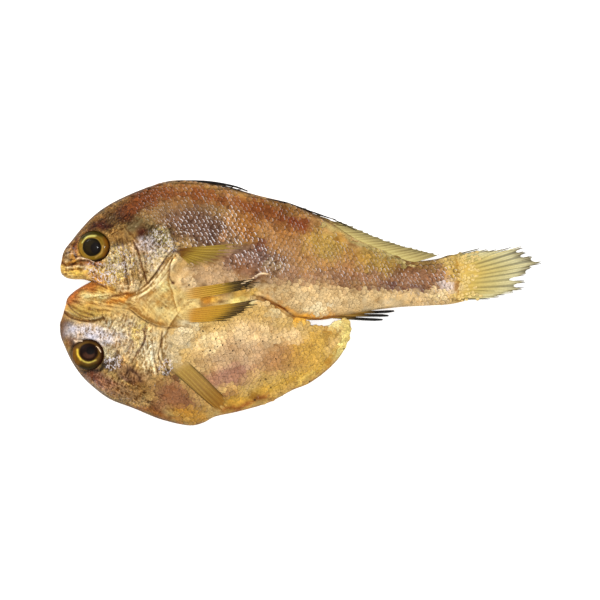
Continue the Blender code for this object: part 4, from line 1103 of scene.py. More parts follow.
# Tones run from root to tip as (share of the length, colour). The crease is the dark line between two rays.
# Where a blend is given, the fin takes the skin's colour over that share of its length at root and tip.
FINS = {
    "tail_fin": dict(
        root=[(69, 21.2), (72.6, 12), (69, 1.2)],
        tip=[(86.6, 25.6), (96.8, 25.2), (105.6, 26.8), (111, 24.4), (115.8, 19.4), (110.8, 16.4),
             (109.8, 12.8), (108.8, 8.4), (105.6, 5.8), (92, 2.2)],
        rays=17, ray_width=(0.8, 0.42), twin=0.5, thick=(2.4, 0.5), heights=(2.2, 0.9), notch=(0.04, 0.26),
        rag=0.03, early=(1.2, 0.92), blend=(0.46, 0), smooth=0.5, edge=0.2, fold=8,
        web=[(0, (222, 190, 118)), (0.3, (208, 180, 92)), (0.6, (206, 190, 124)), (0.85, (204, 196, 152)),
             (1, (150, 140, 110))],
        ray=[(0, (222, 190, 118)), (0.3, (218, 190, 102)), (0.8, (226, 216, 162)), (0.92, (100, 84, 52)),
             (1, (22, 14, 8))],
        crease=[(0, (222, 190, 118)), (0.3, (180, 144, 60)), (0.44, (84, 62, 26)), (0.62, (30, 20, 8)),
                (1, (10, 6, 4))]),
    "soft_dorsal_fin": dict(
        root=[(8, 39.2), (26, 29.8), (40, 23.8), (52.4, 18.6)],
        tip=[(20, 38.8), (38.2, 31.2), (52.4, 26.6), (66.8, 23.2)],
        rays=19, ray_width=(0.42, 0.3), twin=0, thick=(1.3, 0.4), heights=(2.6, 1.4), notch=(0.02, 0.1),
        rag=0.05, early=(1.05, 0.95), blend=(0.12, 0),
        web=[(0, (222, 206, 132)), (0.5, (188, 170, 108)), (1, (160, 146, 96))],
        ray=[(0, (236, 222, 152)), (0.6, (210, 196, 138)), (0.78, (100, 84, 48)), (1, (22, 16, 10))],
        crease=[(0, (204, 184, 108)), (0.45, (140, 118, 64)), (0.8, (72, 56, 28)), (1, (44, 34, 18))]),
    "spiny_dorsal_fin": dict(
        root=[(-61.6, 56.6), (-50, 55.6), (-37, 53.4)],
        tip=[(-50, 58.2), (-40, 57.4), (-28, 54.6)],
        rays=6, ray_width=(0.5, 0.3), twin=0, thick=(1.2, 0.5), heights=(2.4, 2.4), notch=(0.05, 0.2),
        rag=0.04, early=(1, 1), blend=(0.2, 0),
        web=[(0, (184, 152, 100)), (0.5, (134, 106, 66)), (1, (60, 46, 28))],
        ray=[(0, (120, 84, 46)), (0.5, (120, 94, 58)), (1, (22, 16, 10))],
        crease=[(0, (150, 116, 66)), (0.5, (100, 78, 48)), (1, (34, 26, 14))]),
    "last_dorsal_spines": dict(
        root=[(-18, 47.8), (-8, 45.6), (4, 40.8)],
        tip=[(3, 45.2), (13, 40.4), (22, 36.6)],
        rays=6, ray_width=(0.5, 0.3), twin=0, thick=(1.1, 0.5), heights=(2.2, 2), notch=(0.05, 0.2),
        rag=0.04, early=(1, 1), blend=(0.2, 0),
        web=[(0, (104, 60, 16)), (0.5, (146, 114, 54)), (1, (158, 136, 80))],
        ray=[(0, (96, 54, 16)), (0.5, (128, 94, 44)), (1, (22, 16, 10))],
        crease=[(0, (90, 48, 14)), (1, (70, 48, 22))]),
    "anal_fin": dict(
        root=[(6, -6.4), (12, -5.8), (18, -5)],
        tip=[(39.6, -8.3), (42.2, -6.6), (45.2, -4.1)],
        rays=3, ray_width=(1.6, 1.25), twin=0, thick=(1.7, 0.9), heights=(2.2, 1.4), notch=(0.42, 0.5),
        rag=0.03, early=(1, 1), blend=(0.2, 0),
        web=[(0, (226, 170, 104)), (0.4, (176, 130, 48)), (0.56, (160, 128, 56)), (0.66, (70, 54, 28)),
             (1, (40, 34, 24))],
        ray=[(0, (216, 160, 94)), (0.4, (160, 120, 44)), (0.54, (110, 84, 36)), (0.66, (22, 16, 8)),
             (1, (12, 10, 8))],
        crease=[(0, (196, 120, 60)), (0.4, (130, 86, 26)), (1, (36, 28, 18))]),
    "breast_fin_upper": dict(
        root=[(-59.4, 25.6), (-58.6, 24.2), (-58, 22.8)],
        tip=[(-21.6, 28.4), (-23.6, 26.6), (-30, 22.8), (-40, 18.6), (-50.8, 16.6)],
        rays=9, ray_width=(0.36, 0.2), twin=0, thick=(0.9, 0.3), notch=(0.02, 0.06), rag=0.02,
        early=(1, 1), blend=(0.08, 0.3),
        # web and rays dark at the root: painted shade where the fin goes in by the gill opening
        web=[(0, (64, 28, 8)), (0.1, (118, 70, 16)), (0.3, (176, 144, 46)), (0.65, (148, 120, 46)),
             (1, (130, 102, 56))],
        ray=[(0, (74, 34, 10)), (0.12, (136, 88, 20)), (0.4, (184, 152, 54)), (1, (140, 112, 60))],
        crease=[(0, (54, 24, 6)), (0.4, (134, 100, 26)), (1, (104, 78, 34))]),
    "breast_fin_lower": dict(
        root=[(-54.2, -28.2), (-58, -29.8), (-62, -32.2)],
        tip=[(-35.8, -46), (-35.6, -50), (-37.2, -53), (-41, -50.8)],
        rays=6, ray_width=(0.5, 0.3), twin=0, thick=(1.1, 0.6), notch=(0.02, 0.05), rag=0.02,
        early=(1, 1), blend=(0.14, 0.06), edge=0.35,
        web=[(0, (176, 142, 64)), (0.35, (172, 134, 62)), (0.7, (160, 118, 48)), (1, (164, 108, 28))],
        ray=[(0, (186, 154, 78)), (0.4, (182, 146, 72)), (0.7, (172, 132, 58)), (1, (168, 112, 30))],
        crease=[(0, (156, 118, 48)), (0.5, (130, 92, 34)), (1, (134, 86, 22))]),
    "belly_fin_upper": dict(
        root=[(-55.6, 6.2), (-56, 3.8), (-55.4, 1.4)],
        tip=[(-21.6, 11.2), (-20.6, 9.8), (-22.4, 7.4)],
        rays=6, ray_width=(0.5, 0.4), twin=0, thick=(1.1, 0.5), notch=(0.02, 0.14), rag=0.05,
        early=(1.05, 1), blend=(0.2, 0),
        web=[(0, (208, 152, 72)), (0.3, (200, 156, 44)), (0.6, (180, 142, 42)), (0.8, (116, 88, 38)),
             (1, (64, 48, 22))],
        ray=[(0, (216, 160, 76)), (0.5, (204, 162, 54)), (0.72, (60, 44, 18)), (1, (12, 8, 6))],
        crease=[(0, (198, 142, 60)), (0.5, (160, 120, 34)), (0.7, (50, 36, 14)), (1, (28, 20, 10))]),
    "belly_fin_lower": dict(
        root=[(-55, -3.6), (-56, -6.6), (-54.6, -9.4)],
        tip=[(-20.6, 1.4), (-20.6, -0.8), (-25.4, -3.6), (-34, -8.4)],
        rays=8, ray_width=(0.5, 0.36), twin=0, thick=(1.1, 0.5), notch=(0.02, 0.16), rag=0.04,
        early=(1.05, 0.8), blend=(0.16, 0),
        web=[(0, (206, 150, 62)), (0.3, (200, 146, 34)), (0.6, (182, 138, 34)), (0.8, (120, 90, 36)),
             (1, (76, 56, 24))],
        ray=[(0, (208, 150, 60)), (0.55, (200, 154, 46)), (0.74, (60, 44, 18)), (1, (12, 8, 6))],
        crease=[(0, (196, 138, 44)), (0.52, (172, 126, 34)), (0.72, (46, 34, 14)), (1, (22, 16, 8))]),
}
# Unless a fin says otherwise: the share of its length over which its web begins to sink between the rays,
# how bright its outermost rays are, and how sharp the dark creases are.
PLAIN_FIN = dict(smooth=0.05, edge=1.0, fold=3)
# Black spines folded down along the back: line, thickness at the root, in the middle and at the tip.
SPINES = (
    ([(-60, 58.1), (-51, 58.2), (-41, 57.5), (-31.5, 55.8), (-25.4, 53.6)], (0.9, 1.5, 0.6)),
    ([(-43.5, 56.6), (-35, 55.2), (-29, 53.8), (-24, 51.8)], (0.4, 1, 0.4)),
    ([(-16.6, 49.6), (-7.4, 47.7), (-0.2, 45.5), (5.8, 43.5)], (0.9, 1.5, 0.6)),
    ([(3.4, 44.4), (11.8, 41.4), (17, 39.9)], (0.5, 0.8, 0.3)),
    ([(15.4, 40.2), (21, 37.6), (27, 34.6)], (0.3, 0.5, 0.25)),
)
SPINE_TONES = [(0, (40, 28, 18)), (0.2, (20, 15, 11)), (1, (14, 12, 10))]


def between_ends(ends, share):
    """The value at each share of the way from a fin's root to its tip."""
    return (1 - share) * ends[0] + share * ends[1]


def tone_along(tones, share):
    """The linear colour at each share of a fin's length."""
    stops = [stop for stop, _ in tones]
    colours = np.array([linear(colour) for _, colour in tones])
    return np.stack([np.interp(share, stops, colours[:, k]) for k in range(3)], axis=-1)


def height_at(x, y, surface=skin_tree):
    """Height of the skin, or of another surface, above the table."""
    hit = surface.ray_cast(Vector((x * MM, y * MM, 1.0)), Vector((0, 0, -1)))[0]
    return hit.z / MM if hit else 0.0


def fin_height(fin, x, y, share):
    """Height of a fin's middle: between its own two heights, or just above the skin that it lies on."""
    if "heights" in fin:
        return between_ends(fin["heights"], share)
    return height_at(x, y) + 0.5 * between_ends(fin["thick"], share) * ease(share / 0.16) - 0.25


def half_web(fin, share):
    """Half the thickness of a fin's web."""
    return 0.5 * ((1 - share) * fin["thick"][0] * 0.7 + share * fin["thick"][1] * 0.5)


def fin_rays(fin, rng):
    """Lines of points along the rays, from root to ragged tip, each a little bowed."""
    root = spaced(smooth_line(fin["root"]), fin["rays"] - 1)
    tip = spaced(smooth_line(fin["tip"]), fin["rays"] - 1)
    reach = 1 + rng.uniform(-fin["rag"], fin["rag"], fin["rays"])
    reach[0] = reach[-1] = 1.0
    share = np.linspace(0, 1, FIN_ROWS + 1)
    lines = []
    for k in range(fin["rays"]):
        run = (tip[k] - root[k]) * reach[k]
        aside = np.array([-run[1], run[0]]) / np.linalg.norm(run)
        bow = rng.uniform(-0.5, 0.5) * np.sin(np.pi * share)
        bow += rng.uniform(-0.2, 0.2) * np.sin(2 * np.pi * share)
        xy = root[k] + run * share[:, None] + aside * (bow * share)[:, None]
        z = [fin_height(fin, x, y, s) for (x, y), s in zip(xy, share)]
        lines.append(np.column_stack([xy, z]))
    return np.array(lines)


def fin_web(name, fin, lines, rng):
    """The thin sheet between the rays, sunk between them, torn back from the tips and dark in its folds."""
    gaps = fin["rays"] - 1
    count = gaps * LINES_PER_GAP + 1
    share = np.linspace(0, 1, FIN_ROWS + 1)
    sheet = np.zeros((count, FIN_ROWS + 1, 3))
    tones = np.zeros((count, FIN_ROWS + 1, 3))
    torn = rng.uniform(*fin["notch"], gaps)
    early = np.linspace(*fin["early"], count)
    for c in range(count):
        gap = min(c // LINES_PER_GAP, gaps - 1)
        across = c / LINES_PER_GAP - gap
        between = math.sin(math.pi * across)
        reach = 1 - 0.02 - torn[gap] * between**0.7
        line = lines[gap] * (1 - across) + lines[gap + 1] * across
        for k in range(3):
            sheet[c, :, k] = np.interp(share * reach, share, line[:, k])
        sheet[c, :, 2] -= 0.16 * between * ease(share / fin["smooth"])
        fold = between ** fin["fold"] * (0.75 + 0.25 * rng.uniform(-1, 1))
        at = share * reach * early[c]
        tones[c] = tone_along(fin["web"], at) * (1 - fold) + tone_along(fin["crease"], at) * fold
        edge = math.exp(-((min(c, count - 1 - c) / 1.3) ** 2)) * (1 - fin["edge"])
        tones[c] = blended(fin, tones[c] * (1 - edge), sheet[c], share)
    top, low = sheet.copy(), sheet.copy()
    top[:, :, 2] += half_web(fin, share)
    low[:, :, 2] = np.maximum(low[:, :, 2] - half_web(fin, share), 0.1)
    if "heights" not in fin:
        low[:, :, 2] -= 0.5
    rows = FIN_ROWS + 1
    number = np.arange(count * rows).reshape(count, rows)
    under = number + count * rows
    faces = []
    for a in range(count - 1):
        for r in range(FIN_ROWS):
            faces.append((number[a, r], number[a + 1, r], number[a + 1, r + 1], number[a, r + 1]))
            faces.append((under[a, r], under[a, r + 1], under[a + 1, r + 1], under[a + 1, r]))
        for r in (0, FIN_ROWS):
            faces.append((number[a, r], under[a, r], under[a + 1, r], number[a + 1, r]))
    for a in (0, count - 1):
        for r in range(FIN_ROWS):
            faces.append((number[a, r], number[a, r + 1], under[a, r + 1], under[a, r]))
    mesh = bpy.data.meshes.new(name)
    mesh.from_pydata((np.concatenate([top.reshape(-1, 3), low.reshape(-1, 3)]) * MM).tolist(), [], faces)
    repaired = bmesh.new()
    repaired.from_mesh(mesh)
    bmesh.ops.recalc_face_normals(repaired, faces=repaired.faces)
    repaired.to_mesh(mesh)
    repaired.free()
    mesh.shade_smooth()
    store(mesh, tone=np.concatenate([tones.reshape(-1, 3)] * 2))
    return linked(name, mesh)


def blended(fin, tones, line, share):
    """The tones with the skin's own colour mixed in at the root and at the tip."""
    root, tip = fin["blend"]
    skin = 1 - ease(share / root) if root else 0 * share
    if tip:
        skin = np.maximum(skin, 0.75 * ease((share - 1 + tip) / tip))
    below = skin_tones(line[:, :2], (line[:, 1] < -1).astype(float))
    return tones + (below - tones) * skin[:, None]


def new_group(name, **sockets):
    """A geometry node group that is given a shape, a material and the named values; its tree and input."""
    group = bpy.data.node_groups.new(name, "GeometryNodeTree")
    for socket, kind in {"Geometry": "Geometry", **sockets, "Material": "Material"}.items():
        group.interface.new_socket(socket, in_out="INPUT", socket_type="NodeSocket" + kind)
    group.interface.new_socket("Geometry", in_out="OUTPUT", socket_type="NodeSocketGeometry")
    tree = Tree(group)
    return group, tree, tree.node("NodeGroupInput")


def finish_group(tree, made, material):
    """Gives the made shape out, with its copies made real, smooth and of the material."""
    made = tree.node("GeometryNodeRealizeInstances", None, {"Geometry": made})["Geometry"]
    made = tree.node("GeometryNodeSetShadeSmooth", None, {"Geometry": made})["Geometry"]
    made = tree.node("GeometryNodeSetMaterial", None, {"Geometry": made, "Material": material})["Geometry"]
    tree.node("NodeGroupOutput", None, {"Geometry": made})


def strand_group():
    """Geometry nodes: a round strand along each chain of points, as thick as its stored width says."""
    group, tree, given = new_group("strands", Sides="Int")
    chain = tree.node("GeometryNodeMeshToCurve", None, {"Mesh": given["Geometry"]})["Curve"]
    inputs = {"Resolution": given["Sides"], "Radius": 1.0}
    ring = tree.node("GeometryNodeCurvePrimitiveCircle", None, inputs)["Curve"]
    inputs = {"Curve": chain, "Profile Curve": ring, "Scale": tree.named("width"), "Fill Caps": True}
    tube = tree.node("GeometryNodeCurveToMesh", None, inputs)["Mesh"]
    finish_group(tree, tube, given["Material"])
    return group


def apply_group(source, group, **inputs):
    """Runs a geometry node group on the object and keeps the result as its plain mesh."""
    nodes = source.modifiers.new("nodes", "NODES")
    nodes.node_group = group
    identifiers = {s.name: s.identifier for s in group.interface.items_tree if s.in_out == "INPUT"}
    for name, value in inputs.items():
        nodes[identifiers[name.replace("_", " ")]] = value
    bpy.context.view_layer.update()
    made = bpy.data.meshes.new_from_object(source.evaluated_get(bpy.context.evaluated_depsgraph_get()))
    source.modifiers.remove(nodes)
    source.data = made
    return source


def strands(name, lines, widths, tones, material, sides=6):
    """Round strands along the lines, with a width and a tone at each point."""
    mesh = bpy.data.meshes.new(name)
    edges = []
    first = 0
    for line in lines:
        edges += [(first + k, first + k + 1) for k in range(len(line) - 1)]
        first += len(line)
    mesh.from_pydata((np.concatenate(lines) * MM).tolist(), edges, [])
    store(mesh, width=np.concatenate(widths) * MM, tone=np.concatenate(tones))
    return apply_group(linked(name, mesh), strand_nodes, Sides=sides, Material=material)


def fin_material():
    """Dry fin: horny rays and webs with a fine grain."""
    material, tree, shader = new_material("dried_fin")
    tone = tree.stored("tone", "Color")
    grain = tree.noise(0.8, 4.0, 0.6)
    finish_shader(
        tree, shader, Base_Color=tree.shaded(tone, 0.74 + grain * 0.52), Roughness=0.55 - grain * 0.15,
        Normal=tree.bump(0.4, 0.2, grain), Specular_IOR_Level=0.12,
    )
    return material


def ray_strands(name, fin, lines, rng):
    """The rays: one strand each, or two that part on the way to the tip."""
    share = np.linspace(0, 1, FIN_ROWS + 1)
    width = 0.5 * between_ends(fin["ray_width"], share)
    width = width * np.where(share > 0.9, 1 - 4 * (share - 0.9), 1)
    placed, widths, tones = [], [], []
    for number, line in enumerate(lines):
        edge = fin["edge"] if number in (0, len(lines) - 1) else 1.0
        run = line[-1] - line[0]
        aside = np.array([-run[1], run[0], 0]) / np.linalg.norm(run[:2])
        for side in (-1, 1) if fin["twin"] else (0,):
            apart = side * fin["twin"] * (0.35 + 0.65 * ease((share - 0.2) / 0.6))
            reach = 1 - 0.06 * rng.random() * abs(side)
            strand = np.column_stack([np.interp(share * reach, share, line[:, k]) for k in range(3)])
            strand += aside * apart[:, None]
            if "heights" not in fin:
                strand[:, 2] += half_web(fin, share) - 0.25 * width
            if fin["smooth"] > 0.2:
                strand[:, 2] -= 0.4 * (1 - ease(2 * share / fin["smooth"] - 1))
            strand[:, 2] = np.maximum(strand[:, 2], width + 0.1)
            placed.append(strand)
            widths.append(width)
            at = np.clip(share * reach + rng.uniform(-0.05, 0.05), 0, 1)
            tones.append(blended(fin, tone_along(fin["ray"], at) * edge, strand, share))
    return strands(name, placed, widths, tones, dried_fin)


def join_into(first, *others):
    """Joins the other objects into the first."""
    with bpy.context.temp_override(active_object=first, selected_editable_objects=[first, *others]):
        bpy.ops.object.join()
    return first


strand_nodes = strand_group()
dried_fin = fin_material()
fin_rng = np.random.default_rng(FIN_SEED)
fin_outlines = []
for fin_name, fin in FINS.items():
    fin = PLAIN_FIN | fin
    fin_lines = fin_rays(fin, fin_rng)
    web = fin_web(fin_name, fin, fin_lines, fin_rng)
    web.data.materials.append(dried_fin)
    rays = ray_strands(fin_name + "_rays", fin, fin_lines, fin_rng)
    join_into(web, rays)
    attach(web, "root")
    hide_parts("croaker")
    if "heights" not in fin:
        outline = np.vstack([fin_lines[0], fin_lines[:, -1], fin_lines[-1, ::-1], fin_lines[::-1, 0]])
        fin_outlines.append(outline[:, :2])

spine_lines, spine_widths, spine_tones = [], [], []
for spine, thickness in SPINES:
    spine = spaced(smooth_line(spine), FIN_ROWS)
    along = np.linspace(0, 1, FIN_ROWS + 1)
    spine_width = np.interp(along, (0, 0.4, 1), thickness) / 2
    spine_z = [max(height_at(x, y), 2.2) for x, y in spine]
    spine_lines.append(np.column_stack([spine, spine_z + spine_width * 0.4]))
    spine_widths.append(spine_width)
    spine_tones.append(tone_along(SPINE_TONES, along))
dorsal_spines = strands("dorsal_spines", spine_lines, spine_widths, spine_tones, dried_fin, 8)
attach(dorsal_spines, "root")
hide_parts("croaker")

# ------------------------------------------------------------------------------------ scales
# Thin horny scales, rooted in the skin at their head end and overlapping like roof tiles, with painted
# shadow at the root and a painted highlight on the free edge. They cover the body and, much smaller, the
# napes of both halves.
BODY_SCALE = dict(along=2.05, across=1.9, length=3.5, width=2.9, thick=0.06, curl=0.04, tilt=0.045, seed=3)
HEAD_SCALE = dict(along=1.5, across=1.4, length=2.5, width=2.1, thick=0.05, curl=0.04, tilt=0.05, seed=4)
TAIL_FADE = (62, 80)  # between these the scales shrink to little over half their size
TAIL_THINS = (74, 4)  # from here, over this length, all but one in five of the rows' scales are left out
TAIL_PALES = (72, 9)  # from here, over this length, they take the pale gold of the tail fin
PALE_GOLD_SCALE = (222, 198, 136)
SCALE_ROOT_SHADOW = (70, 34, 18)
SCALE_EDGE_HIGHLIGHT = (250, 242, 238)
SCALE_GLINT = (236, 226, 228)
HEAD_END = -61  # the body's scales begin here
UP = (0.0, 0.0, 1.0)
TAIL_ROOT = ((76.5, 88.5), (1.2, 23.0))  # where the last of them lie on the tail fin
SCALE_CORNERS = 8
# Areas that the small scales cover: middle, half-lengths and turn.
SCALED_HEAD = (
    ((-70, 48), (12, 10), 10), ((-66, 41), (8, 6), 0), ((-66, -43), (8, 8), -25),
)
# Bare areas of the body: throat, gill skin, belly between the fins and the deep creases.
BARE = (
    ((-66, -1), (22, 12), -4), ((-44, 1), (20, 8), 0), ((-67, 14), (7, 14), -35),
    ((-11, -1.5), (12, 2), -38), ((-60, 18), (5, 10), 0),
)


def read_grid(grid, column, row):
    """Points between a grid's own, at fractions of a column and a row."""
    i = np.clip(np.floor(column).astype(int), 0, grid.shape[0] - 2)
    k = np.clip(np.floor(row).astype(int), 0, grid.shape[1] - 2)
    u = (column - i)[:, None]
    v = (row - k)[:, None]
    low = grid[i, k] * (1 - u) + grid[i + 1, k] * u
    high = grid[i, k + 1] * (1 - u) + grid[i + 1, k + 1] * u
    return low * (1 - v) + high * v


def scale_rows(grid, stands, along, across):
    """Places of staggered rows along a half's middle, directions to the tail and out of the skin, and how
    far the skin stands up there."""
    middle = grid[:, ROWS // 2]
    reach = np.r_[0, np.cumsum(np.linalg.norm(np.diff(middle, axis=0), axis=1))]
    width = np.linalg.norm((grid[:, -1] - grid[:, 0])[:, :2], axis=1)
    rows = int(width.max() / across / 2) + 1
    s, d = [], []
    for j in range(-rows, rows + 1):
        steps = np.arange(along * (0.5 + 0.5 * (j % 2)), reach[-1], along)
        s.append(steps)
        d.append(np.full(len(steps), j * across))
    s, d = np.concatenate(s), np.concatenate(d)

    def at(s, d):
        column = np.interp(s, reach, np.arange(len(grid)))
        share = 0.5 + d / np.interp(column, np.arange(len(grid)), width)
        return read_grid(grid, column, np.clip(share, 0, 1) * ROWS), share, column

    place, share, column = at(s, d)
    crest = read_grid(stands[:, :, None], column, np.clip(share, 0, 1) * ROWS)
    aim = at(s + 1, d)[0] - at(s - 1, d)[0]
    side = at(s, d + 1)[0] - at(s, d - 1)[0]
    out = np.cross(aim, side)
    out *= np.sign(out[:, 2:])
    inside = (share > 0.02) & (share < 0.99) & (s < reach[-1] - 1)
    return place[inside], aim[inside], out[inside], crest[inside]


def covered(xy, areas, margin=0.0):
    """Whether each point is in one of the ellipses."""
    found = np.zeros(len(xy), bool)
    for centre, radii, turn in areas:
        found |= patch_share(xy, centre, np.array(radii) + margin, turn) > 0.5
    return found


def under_fin(xy):
    """Whether each point is below a fin that lies on the skin."""
    found = np.zeros(len(xy), bool)
    for outline in fin_outlines:
        inside = np.zeros(len(xy), bool)
        for (x1, y1), (x2, y2) in zip(outline, np.roll(outline, -1, axis=0)):
            if y1 != y2:
                crosses = (xy[:, 1] > min(y1, y2)) & (xy[:, 1] <= max(y1, y2))
                inside ^= crosses & (xy[:, 0] < x1 + (xy[:, 1] - y1) * (x2 - x1) / (y2 - y1))
        found |= inside
    return found


def scale_group():
    """Geometry nodes: a thin domed plate with a thin edge, on each point, along its aim and out vectors."""
    sizes = dict.fromkeys(("Length", "Width", "Thickness", "Curl", "Tilt"), "Float")
    group, tree, given = new_group("scales", **sizes, Corners="Int", Seed="Int")

    cone = tree.node(
        "GeometryNodeMeshCone", {"fill_type": "TRIANGLE_FAN"},
        {"Vertices": given["Corners"], "Side Segments": 1, "Fill Segments": 1, "Radius Top": 0.86,
         "Radius Bottom": 1.0, "Depth": 1.0},
    )
    position = tree.node("GeometryNodeInputPosition")["Position"]
    place = tree.node("ShaderNodeSeparateXYZ", None, {"Vector": position})
    x, y, z = place["X"], place["Y"], place["Z"]
    marked = cone["Mesh"]
    for name, value in (("along", x), ("beside", y)):
        marked = tree.node(
            "GeometryNodeStoreNamedAttribute", {"data_type": "FLOAT", "domain": "POINT"},
            {"Geometry": marked, "Name": name, "Value": value},
        )["Geometry"]
    height = z * given["Thickness"] - y * y * given["Curl"]
    inputs = {"X": x * given["Length"] / 2, "Y": y * given["Width"] / 2, "Z": height}
    shaped = tree.node("ShaderNodeCombineXYZ", None, inputs)["Vector"]
    plate = tree.node("GeometryNodeSetPosition", None, {"Geometry": marked, "Position": shaped})["Geometry"]
    lean = tree.node(
        "FunctionNodeRandomValue", {"data_type": "FLOAT_VECTOR"},
        {"Min": (-0.04, -0.03, -0.2), "Max": (0.04, 0.03, 0.2), "Seed": given["Seed"]},
    )["Value"]
    tip_up = tree.node("ShaderNodeCombineXYZ", None, {"X": 0.0, "Y": 0 - given["Tilt"], "Z": 0.0})["Vector"]
    turn = tree.node("ShaderNodeVectorMath", {"operation": "ADD"}, {0: lean, 1: tip_up})["Vector"]
    out, aim = tree.named("out", "FLOAT_VECTOR"), tree.named("aim", "FLOAT_VECTOR")
    facing = tree.node(
        "FunctionNodeAxesToRotation", {"primary_axis": "Z", "secondary_axis": "X"},
        {"Primary Axis": out, "Secondary Axis": aim},
    )["Rotation"]
    leaning = tree.node("FunctionNodeEulerToRotation", None, {"Euler": turn})["Rotation"]
    inputs = {"Rotation": facing, "Rotate By": leaning}
    turned = tree.node("FunctionNodeRotateRotation", {"rotation_space": "LOCAL"}, inputs)["Rotation"]
    inputs = {"Points": given["Geometry"], "Instance": plate, "Rotation": turned}
    inputs["Scale"] = tree.named("size")
    placed = tree.node("GeometryNodeInstanceOnPoints", None, inputs)["Instances"]
    finish_group(tree, placed, given["Material"])
    return group


def scale_material():
    """A dry scale, tinted like the skin below it: with painted shadow where it comes out from under the
    scales before it, and a painted highlight, with painted glints, along its free edge on the side of the
    back."""
    material, tree, shader = new_material("dried_scale")
    tone = tree.stored("tone", "Color")
    pale = tree.stored("pale")
    x = tree.stored("along")
    side = tree.stored("beside")
    mirror = tree.stored("mirror")
    glint = tree.stored("glint")
    y = side * mirror
    grain = tree.noise(0.65, 2.0, 0.6)
    fleck = tree.noise(1.0, 2.0, 0.5)
    blotch = tree.noise(3.0, 3.0)
    edge = ((x * x + y * y) ** 0.5).between(0.66, 0.78) * x.between(0.1, 0.45) * y.between(-0.25, 0.1)
    # painted shadow at the root, where the scale comes out from under the one before it
    shadow = 1 - x.between(-0.2, 0.28)
    shade = (grain * 1.9 + blotch * 0.6 - 0.2) * (1 - shadow * pale * 0.42)
    colour = tree.shaded(tone, shade)
    colour = tree.mix(colour, linear(SCALE_ROOT_SHADOW), shadow * (1 - fleck.between(0.42, 0.5)) * pale * 0.85)
    # painted highlight along the free edge on the side of the back, then painted glints there
    edge_highlight = tree.mix(tone, linear(SCALE_EDGE_HIGHLIGHT), 0.2 + pale * 0.6)
    colour = tree.mix(colour, edge_highlight, edge * pale.between(0.0, 0.8) * fleck.between(0.26, 0.5))
    colour = tree.mix(colour, linear(SCALE_GLINT), edge * glint.between(0.4, 0.8) * 0.8)
    finish_shader(
        tree, shader, Base_Color=colour, Roughness=0.55 - pale * 0.1,
        Normal=tree.bump(0.4, 0.2, grain + fleck), Specular_IOR_Level=0.08, Coat_Weight=pale * 0.04,
        Coat_Roughness=0.25,
    )
    return material


# Dark flecks, stuck to the skin of the flap and the throat.
SPECKS = (
    (-66.6, -2.6), (-64.6, -1.7), (-53.5, 8.4), (-46.8, -13.7), (-48.2, -13.2), (-41.4, -12.6),
    (-40.6, -17.4), (-43.3, -23), (-43.7, -25.2), (-39.8, -21), (-37.4, -20.4), (-32.5, -23.1),
    (-31, -19.8), (-28.8, -18.3), (-24.4, -23.3), (-14.2, -16.5), (-11, -16.6), (-18.2, -18.5),
    (-11.8, -27), (-19.2, -37.5), (-16.6, -36.7), (-12.4, -35.7), (-14.2, -40.9), (-5.6, -30),
    (-36.8, -24.9), (-33.8, -24.6), (-42, -24), (-46.8, -23.3), (-5, -33.5), (0.2, -34.3),
    (6.5, -33.4), (20.9, -22.3), (4.4, -38), (-9.4, -43.6), (-22, -46.8),
)
FLECK = dict(length=0.95, width=0.6, thick=0.12, seed=8, tone=(52, 34, 20))
# Strength of the painted edge highlight and root shadow: middle, half-lengths, turn and strength; 0.45
# elsewhere, less on the belly.
HIGHLIGHTED_EDGES = (
    ((-45, 33), (26, 11), -8, 1.0), ((-22, 20), (18, 9), -8, 0.9), ((-33, 36), (4, 12), 0, 1.0),
    ((-67, 29), (9, 8), 0, 1.0), ((-86, 20), (14, 12), 0, 0.9), ((72, 12), (9, 6), 0, 0.9),
    ((36, 13), (44, 5), -4, 0.6), ((10, 24), (30, 10), -14, 0.45), ((-32, -24), (22, 12), 10, 0.4),
)
SMOOTH_BELLY = (((4, 3), (46, 7), -6, 1.0), ((-44, 12), (12, 6), 0, 1.0))


